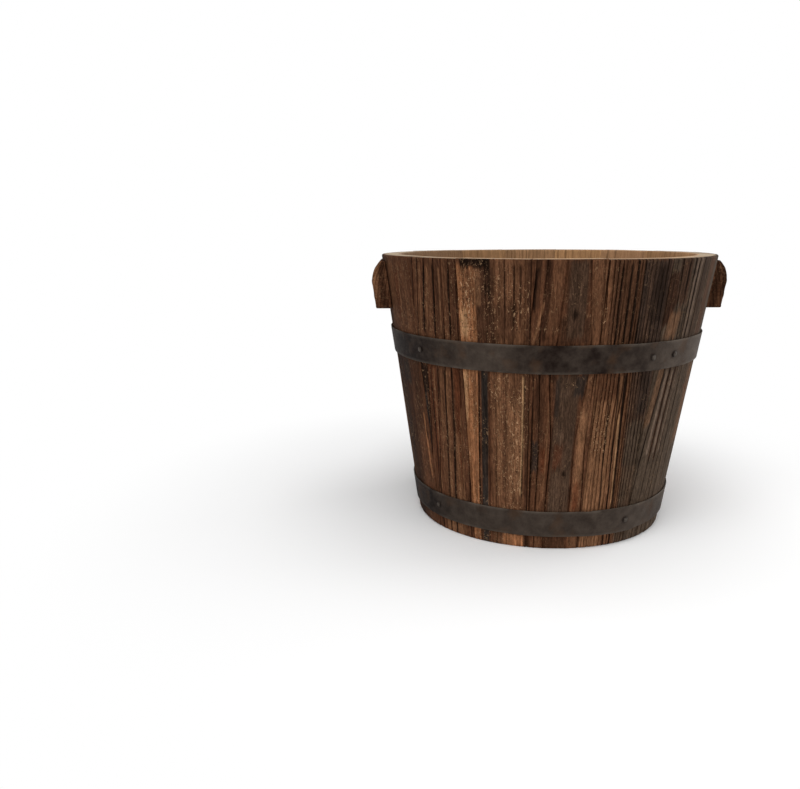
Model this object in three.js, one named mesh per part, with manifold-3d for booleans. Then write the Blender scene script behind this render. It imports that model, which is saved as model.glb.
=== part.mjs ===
// Wooden barrel planter: charred fir staves stand side by side in a tapered round tub, held by two
// nailed steel hoops. A planked base sits in a groove that runs round the inside of the staves,
// and a wooden grip block is screwed to the tub on each side.
//
// Millimetres, +Z up. The origin is on the floor, on the tub's axis. The front faces -Y and the
// grip blocks face -X and +X. An azimuth is in degrees: 0 at the front, growing towards +X.

import * as THREE from 'three';
import { mergeVertices } from 'three/addons/utils/BufferGeometryUtils.js';
import Module from 'manifold-3d';

const wasm = await Module();
wasm.setup();

// ---------------------------------------------------------------- driving dimensions

// Tub
const HEIGHT = 307.5;
const RIM_RADIUS = 190; // outside, at the top
const FOOT_RADIUS = 144; // outside, on the floor
const WALL = 22; // square to a stave's face
const EDGE_EASE = 1.5; // chamfer on the edges of the rim and the foot

// Staves: their widths at the rim, in turn from the joint at FIRST_JOINT. They share out the
// whole round, so only their proportions count.
const FIRST_JOINT = -58;
const STAVE_WIDTHS = [68, 78, 73, 74, 72, 74, 76, 73, 75, 71, 76, 73, 78, 72, 76, 77];
const JOINT_GAP = 0.3;

// Base
const BASE_RISE = 20; // from the floor to its underside
const BASE_THICKNESS = 15;
const BASE_BOARDS = 5;
const GROOVE_DEPTH = 6; // into the staves, at the base's underside
const DRAIN_RADIUS = 10;

// Hoops: one strap each, whose outer end lies over its inner end
const HOOP_WIDTH = 29; // measured straight up
const HOOP_THICKNESS = 1.3;
const HOOP_RISE = 15; // from the floor to the lower hoop
const HOOP_DROP = 23; // from the grip blocks down to the upper hoop
const LAP_LENGTH = 60;
const JOGGLE_LENGTH = 14; // over which the strap steps out on to its inner end
const UPPER_LAP_END = 33.5; // azimuth of the strap's outer end
const LOWER_LAP_END = 35;

// Nails. Those of a lap are set out in millimetres from the strap's outer end.
const NAIL_RADIUS = 1.2;
const NAIL_COVER = 3; // wood left between a nail's point and the groove, were they level
const NAIL_HEAD_RADIUS = 3;
const NAIL_HEAD_HEIGHT = 1.8;
const LAP_NAIL_INSET = 17;
const HOOP_NAILS = [-56, 117, 204]; // azimuths of each hoop's other nails

// Grip blocks
const GRIP_WIDTH = 80;
const GRIP_HEIGHT = 53;
const GRIP_DEPTH = 15; // out from the tub, at the block's middle
const GRIP_DROP = 7.5; // from the rim to the block's top
const GRIP_LIP = 2; // depth left at the block's top
const GRIP_ROUND = 28; // radius of its shoulder

// Screws that hold the grip blocks, driven from inside the tub
const SCREW_RADIUS = 2;
const SCREW_HEAD_RADIUS = 4;
const SCREW_HEAD_HEIGHT = 2.4;
const SCREW_BITE = 9; // into the block
const SCREW_SPACING = 30;

// Fit between any two pieces
const CLEARANCE = 0.3;

// Facets
const ROUND_STEPS = 96; // of the tub, the base and the hoops
const SMALL_STEPS = 14; // of nails, screws and their holes
const DOME_STEPS = 4;
const DRAIN_STEPS = 24;
const SHOULDER_STEPS = 8;

// ---------------------------------------------------------------- sizes that follow

const SLOPE = (RIM_RADIUS - FOOT_RADIUS) / HEIGHT;
const TAPER = Math.atan(SLOPE);

// A distance square to the tub's face, measured level instead.
const level = (distance) => distance / Math.cos(TAPER);

const outerRadius = (z) => FOOT_RADIUS + SLOPE * z;
const innerRadius = (z) => outerRadius(z) - level(WALL);

const grooveFloor = BASE_RISE - CLEARANCE;
const grooveRoof = BASE_RISE + BASE_THICKNESS + CLEARANCE;
const grooveRadius = innerRadius(grooveFloor) + GROOVE_DEPTH;
const baseRadius = grooveRadius - CLEARANCE;

const gripTop = HEIGHT - GRIP_DROP;
const gripBottom = gripTop - GRIP_HEIGHT;
const screwHeight = (gripTop + gripBottom) / 2;

const nailBite = WALL - GROOVE_DEPTH - NAIL_COVER;
const nailHeadRise = HOOP_THICKNESS + 2 * CLEARANCE; // from the stave's face to the head
const strapStep = HOOP_THICKNESS + CLEARANCE; // from one layer of a lap to the next

// ---------------------------------------------------------------- materials

const finish = (color, roughness, metalness) => new THREE.MeshStandardMaterial({ color, roughness, metalness });

const charredFir = [0x5a3a26, 0x4a3126, 0x6a4630, 0x3c2b25].map((color) => finish(color, 0.75, 0));
const sawnFir = finish(0x8a6848, 0.8, 0);
const agedSteel = finish(0x45403c, 0.55, 0.8);
const nailSteel = finish(0x5c5650, 0.5, 0.9);
const screwSteel = finish(0x8a8478, 0.4, 0.9);

// ---------------------------------------------------------------- shaping helpers

// Unit vector on the floor that points away from the axis at an azimuth.
function outward(azimuth) {
  const angle = THREE.MathUtils.degToRad(azimuth);
  return new THREE.Vector2(Math.sin(angle), -Math.cos(angle));
}

// Unit vector on the floor that points along growing azimuth.
function around(azimuth) {
  const angle = THREE.MathUtils.degToRad(azimuth);
  return new THREE.Vector2(Math.cos(angle), Math.sin(angle));
}

// A closed geometry as a solid that can be cut and joined. Flat triangles on an axis are left out.
function solid(geometry) {
  const bare = geometry.clone();
  bare.deleteAttribute('normal');
  bare.deleteAttribute('uv');
  const merged = mergeVertices(bare);
  const corners = merged.index.array;
  const kept = [];
  for (let i = 0; i < corners.length; i += 3) {
    const [a, b, c] = corners.slice(i, i + 3);
    if (a !== b && b !== c && c !== a) kept.push(a, b, c);
  }
  return new wasm.Manifold(new wasm.Mesh({
    numProp: 3,
    vertProperties: Float32Array.from(merged.attributes.position.array),
    triVerts: Uint32Array.from(kept),
  }));
}

function geometryOf(manifold) {
  const { vertProperties, triVerts } = manifold.getMesh();
  const geometry = new THREE.BufferGeometry();
  geometry.setAttribute('position', new THREE.BufferAttribute(vertProperties, 3));
  geometry.setIndex(new THREE.BufferAttribute(triVerts, 1));
  geometry.computeVertexNormals();
  return geometry;
}

// One named piece from a solid.
function piece(name, manifold, material) {
  const mesh = new THREE.Mesh(geometryOf(manifold), material);
  mesh.name = name;
  return mesh;
}

const joined = (solids) => solids.reduce((whole, next) => whole.add(next));

// An outline of [radius, height] pairs, going up the outside, turned round the Z axis.
function turned(outline, steps) {
  const points = outline.map(([radius, height]) => new THREE.Vector2(radius, height));
  return new THREE.LatheGeometry(points, steps).rotateX(Math.PI / 2);
}

// Stands a geometry that was turned round the Z axis on a point, its top towards a direction.
function stoodAt(geometry, position, direction) {
  const up = new THREE.Vector3(0, 0, 1);
  const turn = new THREE.Quaternion().setFromUnitVectors(up, direction);
  return geometry.applyQuaternion(turn).translate(position.x, position.y, position.z);
}

// ---------------------------------------------------------------- hoops

// A hoop as what its strap and its nails need to know. Azimuths along the strap run from its
// inner end, a full turn and a lap before lapEnd, to its outer end at lapEnd.
function hoopPlan(name, lowerEdge, lapEnd, lapNails) {
  const middle = lowerEdge + HOOP_WIDTH / 2;
  const seat = outerRadius(middle) + level(CLEARANCE);
  const degrees = (length) => THREE.MathUtils.radToDeg(length / seat);
  const outerStart = lapEnd - degrees(LAP_LENGTH);
  return {
    name,
    lowerEdge,
    middle,
    seat,
    innerEnd: outerStart - 360,
    joggle: outerStart - degrees(JOGGLE_LENGTH),
    outerStart,
    lapEnd,
    nails: [...lapNails.map((side) => lapEnd + side * degrees(LAP_NAIL_INSET)), ...HOOP_NAILS],
  };
}

// How far the strap lies off its seat at an azimuth along it.
function strapLift(hoop, azimuth) {
  const climbed = (azimuth - hoop.joggle) / (hoop.outerStart - hoop.joggle);
  return strapStep * THREE.MathUtils.clamp(climbed, 0, 1);
}

// Azimuths from one to another, ends included, no further apart than a facet of the tub.
function facets(from, to) {
  const count = Math.ceil(((to - from) * ROUND_STEPS) / 360);
  return Array.from({ length: count + 1 }, (_, i) => from + ((to - from) * i) / count);
}

// The strap bent round the tub, before its nail holes.
function strap(hoop) {
  const stretches = [
    facets(hoop.innerEnd, hoop.joggle),
    facets(hoop.joggle, hoop.outerStart).slice(1),
    facets(hoop.outerStart, hoop.lapEnd).slice(1),
  ];
  const route = stretches.flat();
  const at = (azimuth, off) => outward(azimuth).multiplyScalar(hoop.seat + strapLift(hoop, azimuth) + off);
  const outside = route.map((azimuth) => at(azimuth, HOOP_THICKNESS));
  const inside = route.map((azimuth) => at(azimuth, 0));
  const plan = new THREE.Shape([...outside, ...inside.reverse()]);
  const band = new THREE.ExtrudeGeometry(plan, { depth: HOOP_WIDTH, bevelEnabled: false });
  band.translate(0, 0, hoop.lowerEdge);

  // The strap leans with the tub: each point moves out by the taper's rise above the middle.
  const points = band.attributes.position;
  for (let i = 0; i < points.count; i += 1) {
    const radius = Math.hypot(points.getX(i), points.getY(i));
    const grown = (radius + SLOPE * (points.getZ(i) - hoop.middle)) / radius;
    points.setXY(i, points.getX(i) * grown, points.getY(i) * grown);
  }
  return solid(band);
}

// ---------------------------------------------------------------- nails and screws

const nailSizes = { radius: NAIL_RADIUS, headRadius: NAIL_HEAD_RADIUS, headHeight: NAIL_HEAD_HEIGHT };
const screwSizes = { radius: SCREW_RADIUS, headRadius: SCREW_HEAD_RADIUS, headHeight: SCREW_HEAD_HEIGHT };

// A nail or screw with its head on Z = 0 and its point below.
function fastener({ radius, headRadius, headHeight }, length) {
  const dome = [];
  for (let i = 0; i <= DOME_STEPS; i += 1) {
    const angle = (i / DOME_STEPS) * (Math.PI / 2);
    dome.push([headRadius * Math.cos(angle), headHeight * Math.sin(angle)]);
  }
  return turned([[0, -length], [radius, 2 * radius - length], [radius, 0], ...dome], SMALL_STEPS);
}

// The hole that its shank needs, open at the top.
function shankHole({ radius, headHeight }, length) {
  const wide = radius + CLEARANCE;
  const deep = -length - CLEARANCE;
  return turned([[0, deep], [wide, deep], [wide, headHeight], [0, headHeight]], SMALL_STEPS);
}

// A point on the tub's outside, and the direction square to the tub there.
function onTub(azimuth, z) {
  const out = outward(azimuth);
  const radius = outerRadius(z);
  return {
    point: new THREE.Vector3(out.x * radius, out.y * radius, z),
    normal: new THREE.Vector3(out.x * Math.cos(TAPER), out.y * Math.cos(TAPER), -Math.sin(TAPER)),
  };
}

// Drives a nail through a hoop at an azimuth. shape is fastener or shankHole.
function nailed(hoop, azimuth, shape) {
  const alongStrap = azimuth > hoop.lapEnd ? azimuth - 360 : azimuth;
  const rise = nailHeadRise + strapLift(hoop, alongStrap);
  const { point, normal } = onTub(azimuth, hoop.middle);
  return solid(stoodAt(shape(nailSizes, rise + nailBite), point.addScaledVector(normal, rise), normal));
}

// Drives a screw through the wall into the +X block, with its head inside the tub. side is its
// distance from the block's middle, and turn moves it round to the block that it is for.
function screwed(side, turn, shape) {
  const azimuth = 90 + THREE.MathUtils.radToDeg(side / outerRadius(screwHeight));
  const { point, normal } = onTub(azimuth, screwHeight);
  const inwards = normal.negate();
  const depth = WALL + CLEARANCE;
  const screw = shape(screwSizes, depth + SCREW_BITE);
  return solid(stoodAt(screw, point.addScaledVector(inwards, depth), inwards).rotateZ(turn));
}

// ---------------------------------------------------------------- grip blocks

// The +X block before its cuts: level underneath, parallel to the tub outside, with a shoulder
// arc that leaves the face without a corner and ends GRIP_LIP off the tub.
function gripSlab() {
  const face = (z) => outerRadius(z) + GRIP_DEPTH;
  const overhang = level(GRIP_ROUND) - (GRIP_DEPTH - GRIP_LIP);
  const square = 1 + SLOPE ** 2;
  const rise = (Math.sqrt(square * GRIP_ROUND ** 2 - overhang ** 2) - SLOPE * overhang) / square;
  const centre = new THREE.Vector2(face(gripTop - rise) - level(GRIP_ROUND), gripTop - rise);
  const arcEnd = Math.atan2(rise, outerRadius(gripTop) + GRIP_LIP - centre.x);
  const buried = outerRadius(gripBottom) - GRIP_WIDTH / 2;

  const profile = new THREE.Shape();
  profile.moveTo(buried, gripBottom);
  profile.lineTo(face(gripBottom), gripBottom);
  profile.absarc(centre.x, centre.y, GRIP_ROUND, -TAPER, arcEnd);
  profile.lineTo(buried, gripTop);

  const slab = new THREE.ExtrudeGeometry(profile, {
    depth: GRIP_WIDTH,
    curveSegments: SHOULDER_STEPS,
    bevelEnabled: false,
  });
  return solid(slab.translate(0, 0, -GRIP_WIDTH / 2).rotateX(Math.PI / 2));
}

// The tub as a plug a clearance larger all round, which scribes the block's back.
function tubPlug() {
  const grown = (z) => [outerRadius(z) + level(CLEARANCE), z];
  return solid(turned([[0, 0], grown(0), grown(2 * HEIGHT), [0, 2 * HEIGHT]], ROUND_STEPS));
}

// ---------------------------------------------------------------- staves

// The whole wall as one ring, with the groove for the base inside.
function wallRing() {
  const lowEase = EDGE_EASE;
  const highEase = HEIGHT - EDGE_EASE;
  return solid(turned([
    [outerRadius(0) - EDGE_EASE, 0],
    [outerRadius(lowEase), lowEase],
    [outerRadius(highEase), highEase],
    [outerRadius(HEIGHT) - EDGE_EASE, HEIGHT],
    [innerRadius(HEIGHT) + EDGE_EASE, HEIGHT],
    [innerRadius(highEase), highEase],
    [innerRadius(grooveRoof), grooveRoof],
    [grooveRadius, grooveRoof],
    [grooveRadius, grooveFloor],
    [innerRadius(grooveFloor), grooveFloor],
    [innerRadius(0), 0],
    [outerRadius(0) - EDGE_EASE, 0],
  ], ROUND_STEPS));
}

// The wedge of space between two joints, half a joint gap inside each.
function wedge(from, to) {
  const near = innerRadius(0) / 2;
  const far = 2 * Math.max(RIM_RADIUS, FOOT_RADIUS);
  const corner = (azimuth, distance, side) => outward(azimuth)
    .multiplyScalar(distance)
    .addScaledVector(around(azimuth), (side * JOINT_GAP) / 2);
  const plan = new THREE.Shape([
    corner(from, near, 1),
    corner(from, far, 1),
    corner(to, far, -1),
    corner(to, near, -1),
  ]);
  return solid(new THREE.ExtrudeGeometry(plan, { depth: HEIGHT, bevelEnabled: false }));
}

// Azimuths of the joints between staves, the first one again at the end.
function staveJoints() {
  const round = STAVE_WIDTHS.reduce((sum, width) => sum + width, 0);
  const joints = [FIRST_JOINT];
  for (const width of STAVE_WIDTHS) joints.push(joints.at(-1) + (360 * width) / round);
  return joints;
}

// ---------------------------------------------------------------- base

// Boards side by side, cut to a disc that fills the groove, with the drain hole in the middle.
function baseBoards() {
  const disc = turned(
    [[0, 0], [baseRadius, 0], [baseRadius, BASE_THICKNESS], [0, BASE_THICKNESS]],
    ROUND_STEPS,
  );
  const above = 2 * BASE_THICKNESS;
  const drain = turned([[0, -above], [DRAIN_RADIUS, -above], [DRAIN_RADIUS, above], [0, above]], DRAIN_STEPS);
  const planked = solid(disc).subtract(solid(drain));
  const width = (2 * baseRadius) / BASE_BOARDS;
  return Array.from({ length: BASE_BOARDS }, (_, i) => {
    const strip = new THREE.BoxGeometry(width - JOINT_GAP, 2 * RIM_RADIUS, 2 * above);
    strip.translate((i + 0.5) * width - baseRadius, 0, 0);
    return piece(`base_board_${i + 1}`, planked.intersect(solid(strip)), sawnFir);
  });
}

// ---------------------------------------------------------------- assembly

const planter = new THREE.Group();

const hoops = [
  hoopPlan('upper_hoop', gripBottom - HOOP_DROP - HOOP_WIDTH, UPPER_LAP_END, [-1, 1]),
  hoopPlan('lower_hoop', HOOP_RISE, LOWER_LAP_END, [-1]),
];

const holesInStaves = [];

for (const hoop of hoops) {
  const holes = joined(hoop.nails.map((azimuth) => nailed(hoop, azimuth, shankHole)));
  holesInStaves.push(holes);
  planter.add(piece(hoop.name, strap(hoop).subtract(holes), agedSteel));
  hoop.nails.forEach((azimuth, i) => {
    planter.add(piece(`${hoop.name}_nail_${i + 1}`, nailed(hoop, azimuth, fastener), nailSteel));
  });
}

const screwSides = [-SCREW_SPACING / 2, SCREW_SPACING / 2];
const screwHoles = joined(screwSides.map((side) => screwed(side, 0, shankHole)));
const gripBlock = gripSlab().subtract(tubPlug()).subtract(screwHoles);

for (const [name, turn] of [['right_grip', 0], ['left_grip', Math.PI]]) {
  const grip = new THREE.Group();
  grip.rotation.z = turn;
  grip.add(piece(`${name}_block`, gripBlock, charredFir[1]));
  screwSides.forEach((side, i) => {
    grip.add(piece(`${name}_screw_${i + 1}`, screwed(side, 0, fastener), screwSteel));
    holesInStaves.push(screwed(side, turn, shankHole));
  });
  planter.add(grip);
}

const wall = wallRing().subtract(joined(holesInStaves));
const joints = staveJoints();
STAVE_WIDTHS.forEach((_, i) => {
  const name = `stave_${String(i + 1).padStart(2, '0')}`;
  const stave = wall.intersect(wedge(joints[i], joints[i + 1]));
  planter.add(piece(name, stave, charredFir[i % charredFir.length]));
});

const base = new THREE.Group();
base.position.z = BASE_RISE;
base.add(...baseBoards());
planter.add(base);

export default planter;
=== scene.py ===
# %% [markdown]
# # Dressing a charred barrel planter
# The planter is a tapered tub of fir staves, burnt with a flame and then wire-brushed, so that the
# hard late wood of each year stands proud and dark while the soft early wood shows brown between.
# Two nailed steel hoops hold it, a planked base sits in a groove, and a wooden grip block is
# screwed on at each side.
#
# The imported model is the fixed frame. Every piece below is built in mesh code on the frame's own
# sizes and stands for one of its nodes, so each piece stays a part of its own.

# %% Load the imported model
import math

import bmesh
import bpy
import numpy as np
from mathutils import Matrix, Vector


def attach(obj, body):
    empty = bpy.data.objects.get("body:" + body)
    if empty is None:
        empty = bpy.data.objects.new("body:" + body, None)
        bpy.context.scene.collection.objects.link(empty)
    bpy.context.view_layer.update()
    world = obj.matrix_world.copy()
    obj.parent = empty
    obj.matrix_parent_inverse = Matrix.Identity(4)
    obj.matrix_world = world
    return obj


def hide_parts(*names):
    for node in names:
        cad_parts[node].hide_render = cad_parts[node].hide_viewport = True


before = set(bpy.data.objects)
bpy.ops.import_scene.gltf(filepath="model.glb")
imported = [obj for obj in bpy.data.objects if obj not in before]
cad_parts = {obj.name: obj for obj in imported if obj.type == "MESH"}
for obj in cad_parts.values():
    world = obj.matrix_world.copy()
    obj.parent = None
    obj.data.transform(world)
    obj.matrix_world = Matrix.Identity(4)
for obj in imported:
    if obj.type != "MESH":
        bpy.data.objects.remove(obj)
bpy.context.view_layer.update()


# %% [markdown]
# ## Sizes
# The frame gives every node's box, but not the taper or the joints between staves, so the driving
# sizes of the part are repeated here. They are in millimetres, because a cooper's sizes are easier
# to picture that way, and meshes are scaled to metres when they are made. An azimuth is in degrees:
# 0 at the front, growing towards the grip on +X.

# %% Driving sizes of the part
HEIGHT = 307.5
RIM_RADIUS = 190
FOOT_RADIUS = 144
WALL = 22
EDGE_EASE = 1.5
FIRST_JOINT = -58
STAVE_WIDTHS = [68, 78, 73, 74, 72, 74, 76, 73, 75, 71, 76, 73, 78, 72, 76, 77]
JOINT_GAP = 0.3
CLEARANCE = 0.3
BASE_RISE = 20
BASE_THICKNESS = 15
GROOVE_DEPTH = 6

SLOPE = (RIM_RADIUS - FOOT_RADIUS) / HEIGHT
TAPER = math.atan(SLOPE)
WALL_LEVEL = WALL / math.cos(TAPER)
GROOVE_FLOOR = BASE_RISE - CLEARANCE
GROOVE_ROOF = BASE_RISE + BASE_THICKNESS + CLEARANCE
GROOVE_RADIUS = FOOT_RADIUS + SLOPE * GROOVE_FLOOR - WALL_LEVEL + GROOVE_DEPTH


def outer_radius(z):
    return FOOT_RADIUS + SLOPE * z


def inner_radius(z):
    return outer_radius(z) - WALL_LEVEL


def arc(degrees, z):
    """Millimetres along the outside of the tub that an angle spans at a height."""
    return degrees * outer_radius(z) * math.pi / 180


def signed(degrees):
    """The same angle, between -180 and 180 degrees."""
    return (degrees + 180) % 360 - 180


joints = FIRST_JOINT + 360 * np.concatenate([[0], np.cumsum(STAVE_WIDTHS)]) / sum(STAVE_WIDTHS)
print("taper:", round(math.degrees(TAPER), 2), "degrees; joints at", joints.round(1))

# %% [markdown]
# ## Repeatable irregularity
# Wood is irregular, but the script has to make the same planter each time. So chance comes from
# smooth noise made by mixing the bits of a grid point's numbers, and from generators with a seed.

# %% Smooth noise in numpy
def fade(x, start, end):
    """0 before start, 1 after end, and a smooth step between."""
    t = np.clip((x - start) / (end - start), 0, 1)
    return t * t * (3 - 2 * t)


def lattice(ix, iy, seed):
    """A number from 0 to 1 for a grid point, the same on every run."""
    n = (ix * 374761393 + iy * 668265263 + seed * 1442695041) & 0xFFFFFFFF
    n = ((n ^ (n >> 13)) * 1274126177) & 0xFFFFFFFF
    return ((n ^ (n >> 16)) & 0xFFFF) / 0xFFFF


def noise(x, y, seed=0):
    """Smooth noise from 0 to 1, with features one unit wide."""
    x, y = np.broadcast_arrays(np.asarray(x, float), np.asarray(y, float))
    ix, iy = np.floor(x).astype(np.int64), np.floor(y).astype(np.int64)
    fx, fy = fade(x - ix, 0, 1), fade(y - iy, 0, 1)
    low = lattice(ix, iy, seed) * (1 - fx) + lattice(ix + 1, iy, seed) * fx
    high = lattice(ix, iy + 1, seed) * (1 - fx) + lattice(ix + 1, iy + 1, seed) * fx
    return low * (1 - fy) + high * fy


def cloud(x, y, seed=0):
    """Three sizes of noise laid over each other, from 0 to 1."""
    coarse = noise(x, y, seed) * 4
    middling = noise(2.1 * x, 2.1 * y, seed + 7) * 2
    return (coarse + middling + noise(4.3 * x, 4.3 * y, seed + 13)) / 7


print("noise sample:", noise(np.array([0.5, 1.5]), 0.25, 3).round(3))

# %% [markdown]
# ## Colours of burnt fir
# A flame leaves fir anywhere from straw to soot, and the brush brings the brown back where it bites.
# The colours are written as sRGB hex, as a colour picker shows them. Blender mixes light in linear
# values, so one function turns them over.

# %% Palette
def linear(hex_colour):
    channels = [int(hex_colour[i:i + 2], 16) / 255 for i in (0, 2, 4)]
    return np.array([c / 12.92 if c <= 0.04045 else ((c + 0.055) / 1.055) ** 2.4 for c in channels])


def rgba(hex_colour):
    return (*linear(hex_colour), 1.0)


def blend(share, first, second):
    """Colours part of the way from the first to the second, by a share for each point."""
    return first + np.asarray(share)[..., None] * (second - first)


TONES = {name: linear(value) for name, value in {
    "soot": "170e0a",
    "slate": "27221f",
    "umber": "2e1c13",
    "bark": "39251a",
    "ash": "43372d",
    "russet": "4c2919",
    "brown": "4b3021",
    "chestnut": "593c2a",
    "fawn": "625145",
    "tan": "6f4e37",
    "amber": "885b3d",
    "straw": "a37f5c",
}.items()}
print("tones:", ", ".join(TONES))

# %% [markdown]
# ## How a board is described
# A sawn board shows its growth rings as dark lines of late wood. Where the saw ran square to the rings
# the lines are close and nearly parallel (rift sawn), and where it ran along them they open round a
# plain heart (flat sawn). So a board is told by its lines: a heart, and the lines to its left and right
# in the order of growth. Each line is a row of azimuths at the heights in LEVELS, from rim to floor.
#
# The char is laid on as brush strokes along the grain, each one a tone, a strength, a half width in
# degrees and a path of (height, azimuth) points, and after that the softness of its sides in
# millimetres. That is also how a finisher would mix this surface by hand: a body tone, then darker and
# lighter passes.

# %% A board and its strokes
LEVELS = [HEIGHT, 225, 195, 120, 60, 0]


class Board:
    """One stave's wood. lines is how dark its late wood is, and scars how much the brush marked it."""

    def __init__(self, body, lines, scars, heart, left, right, strokes):
        self.body, self.lines, self.scars = body, lines, scars
        self.heart, self.left, self.right = heart, left, right
        self.strokes = strokes


def down(*azimuths):
    """A path from the rim to the floor through evenly spaced azimuths."""
    return list(zip(np.linspace(HEIGHT, 0, len(azimuths)), azimuths))
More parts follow.
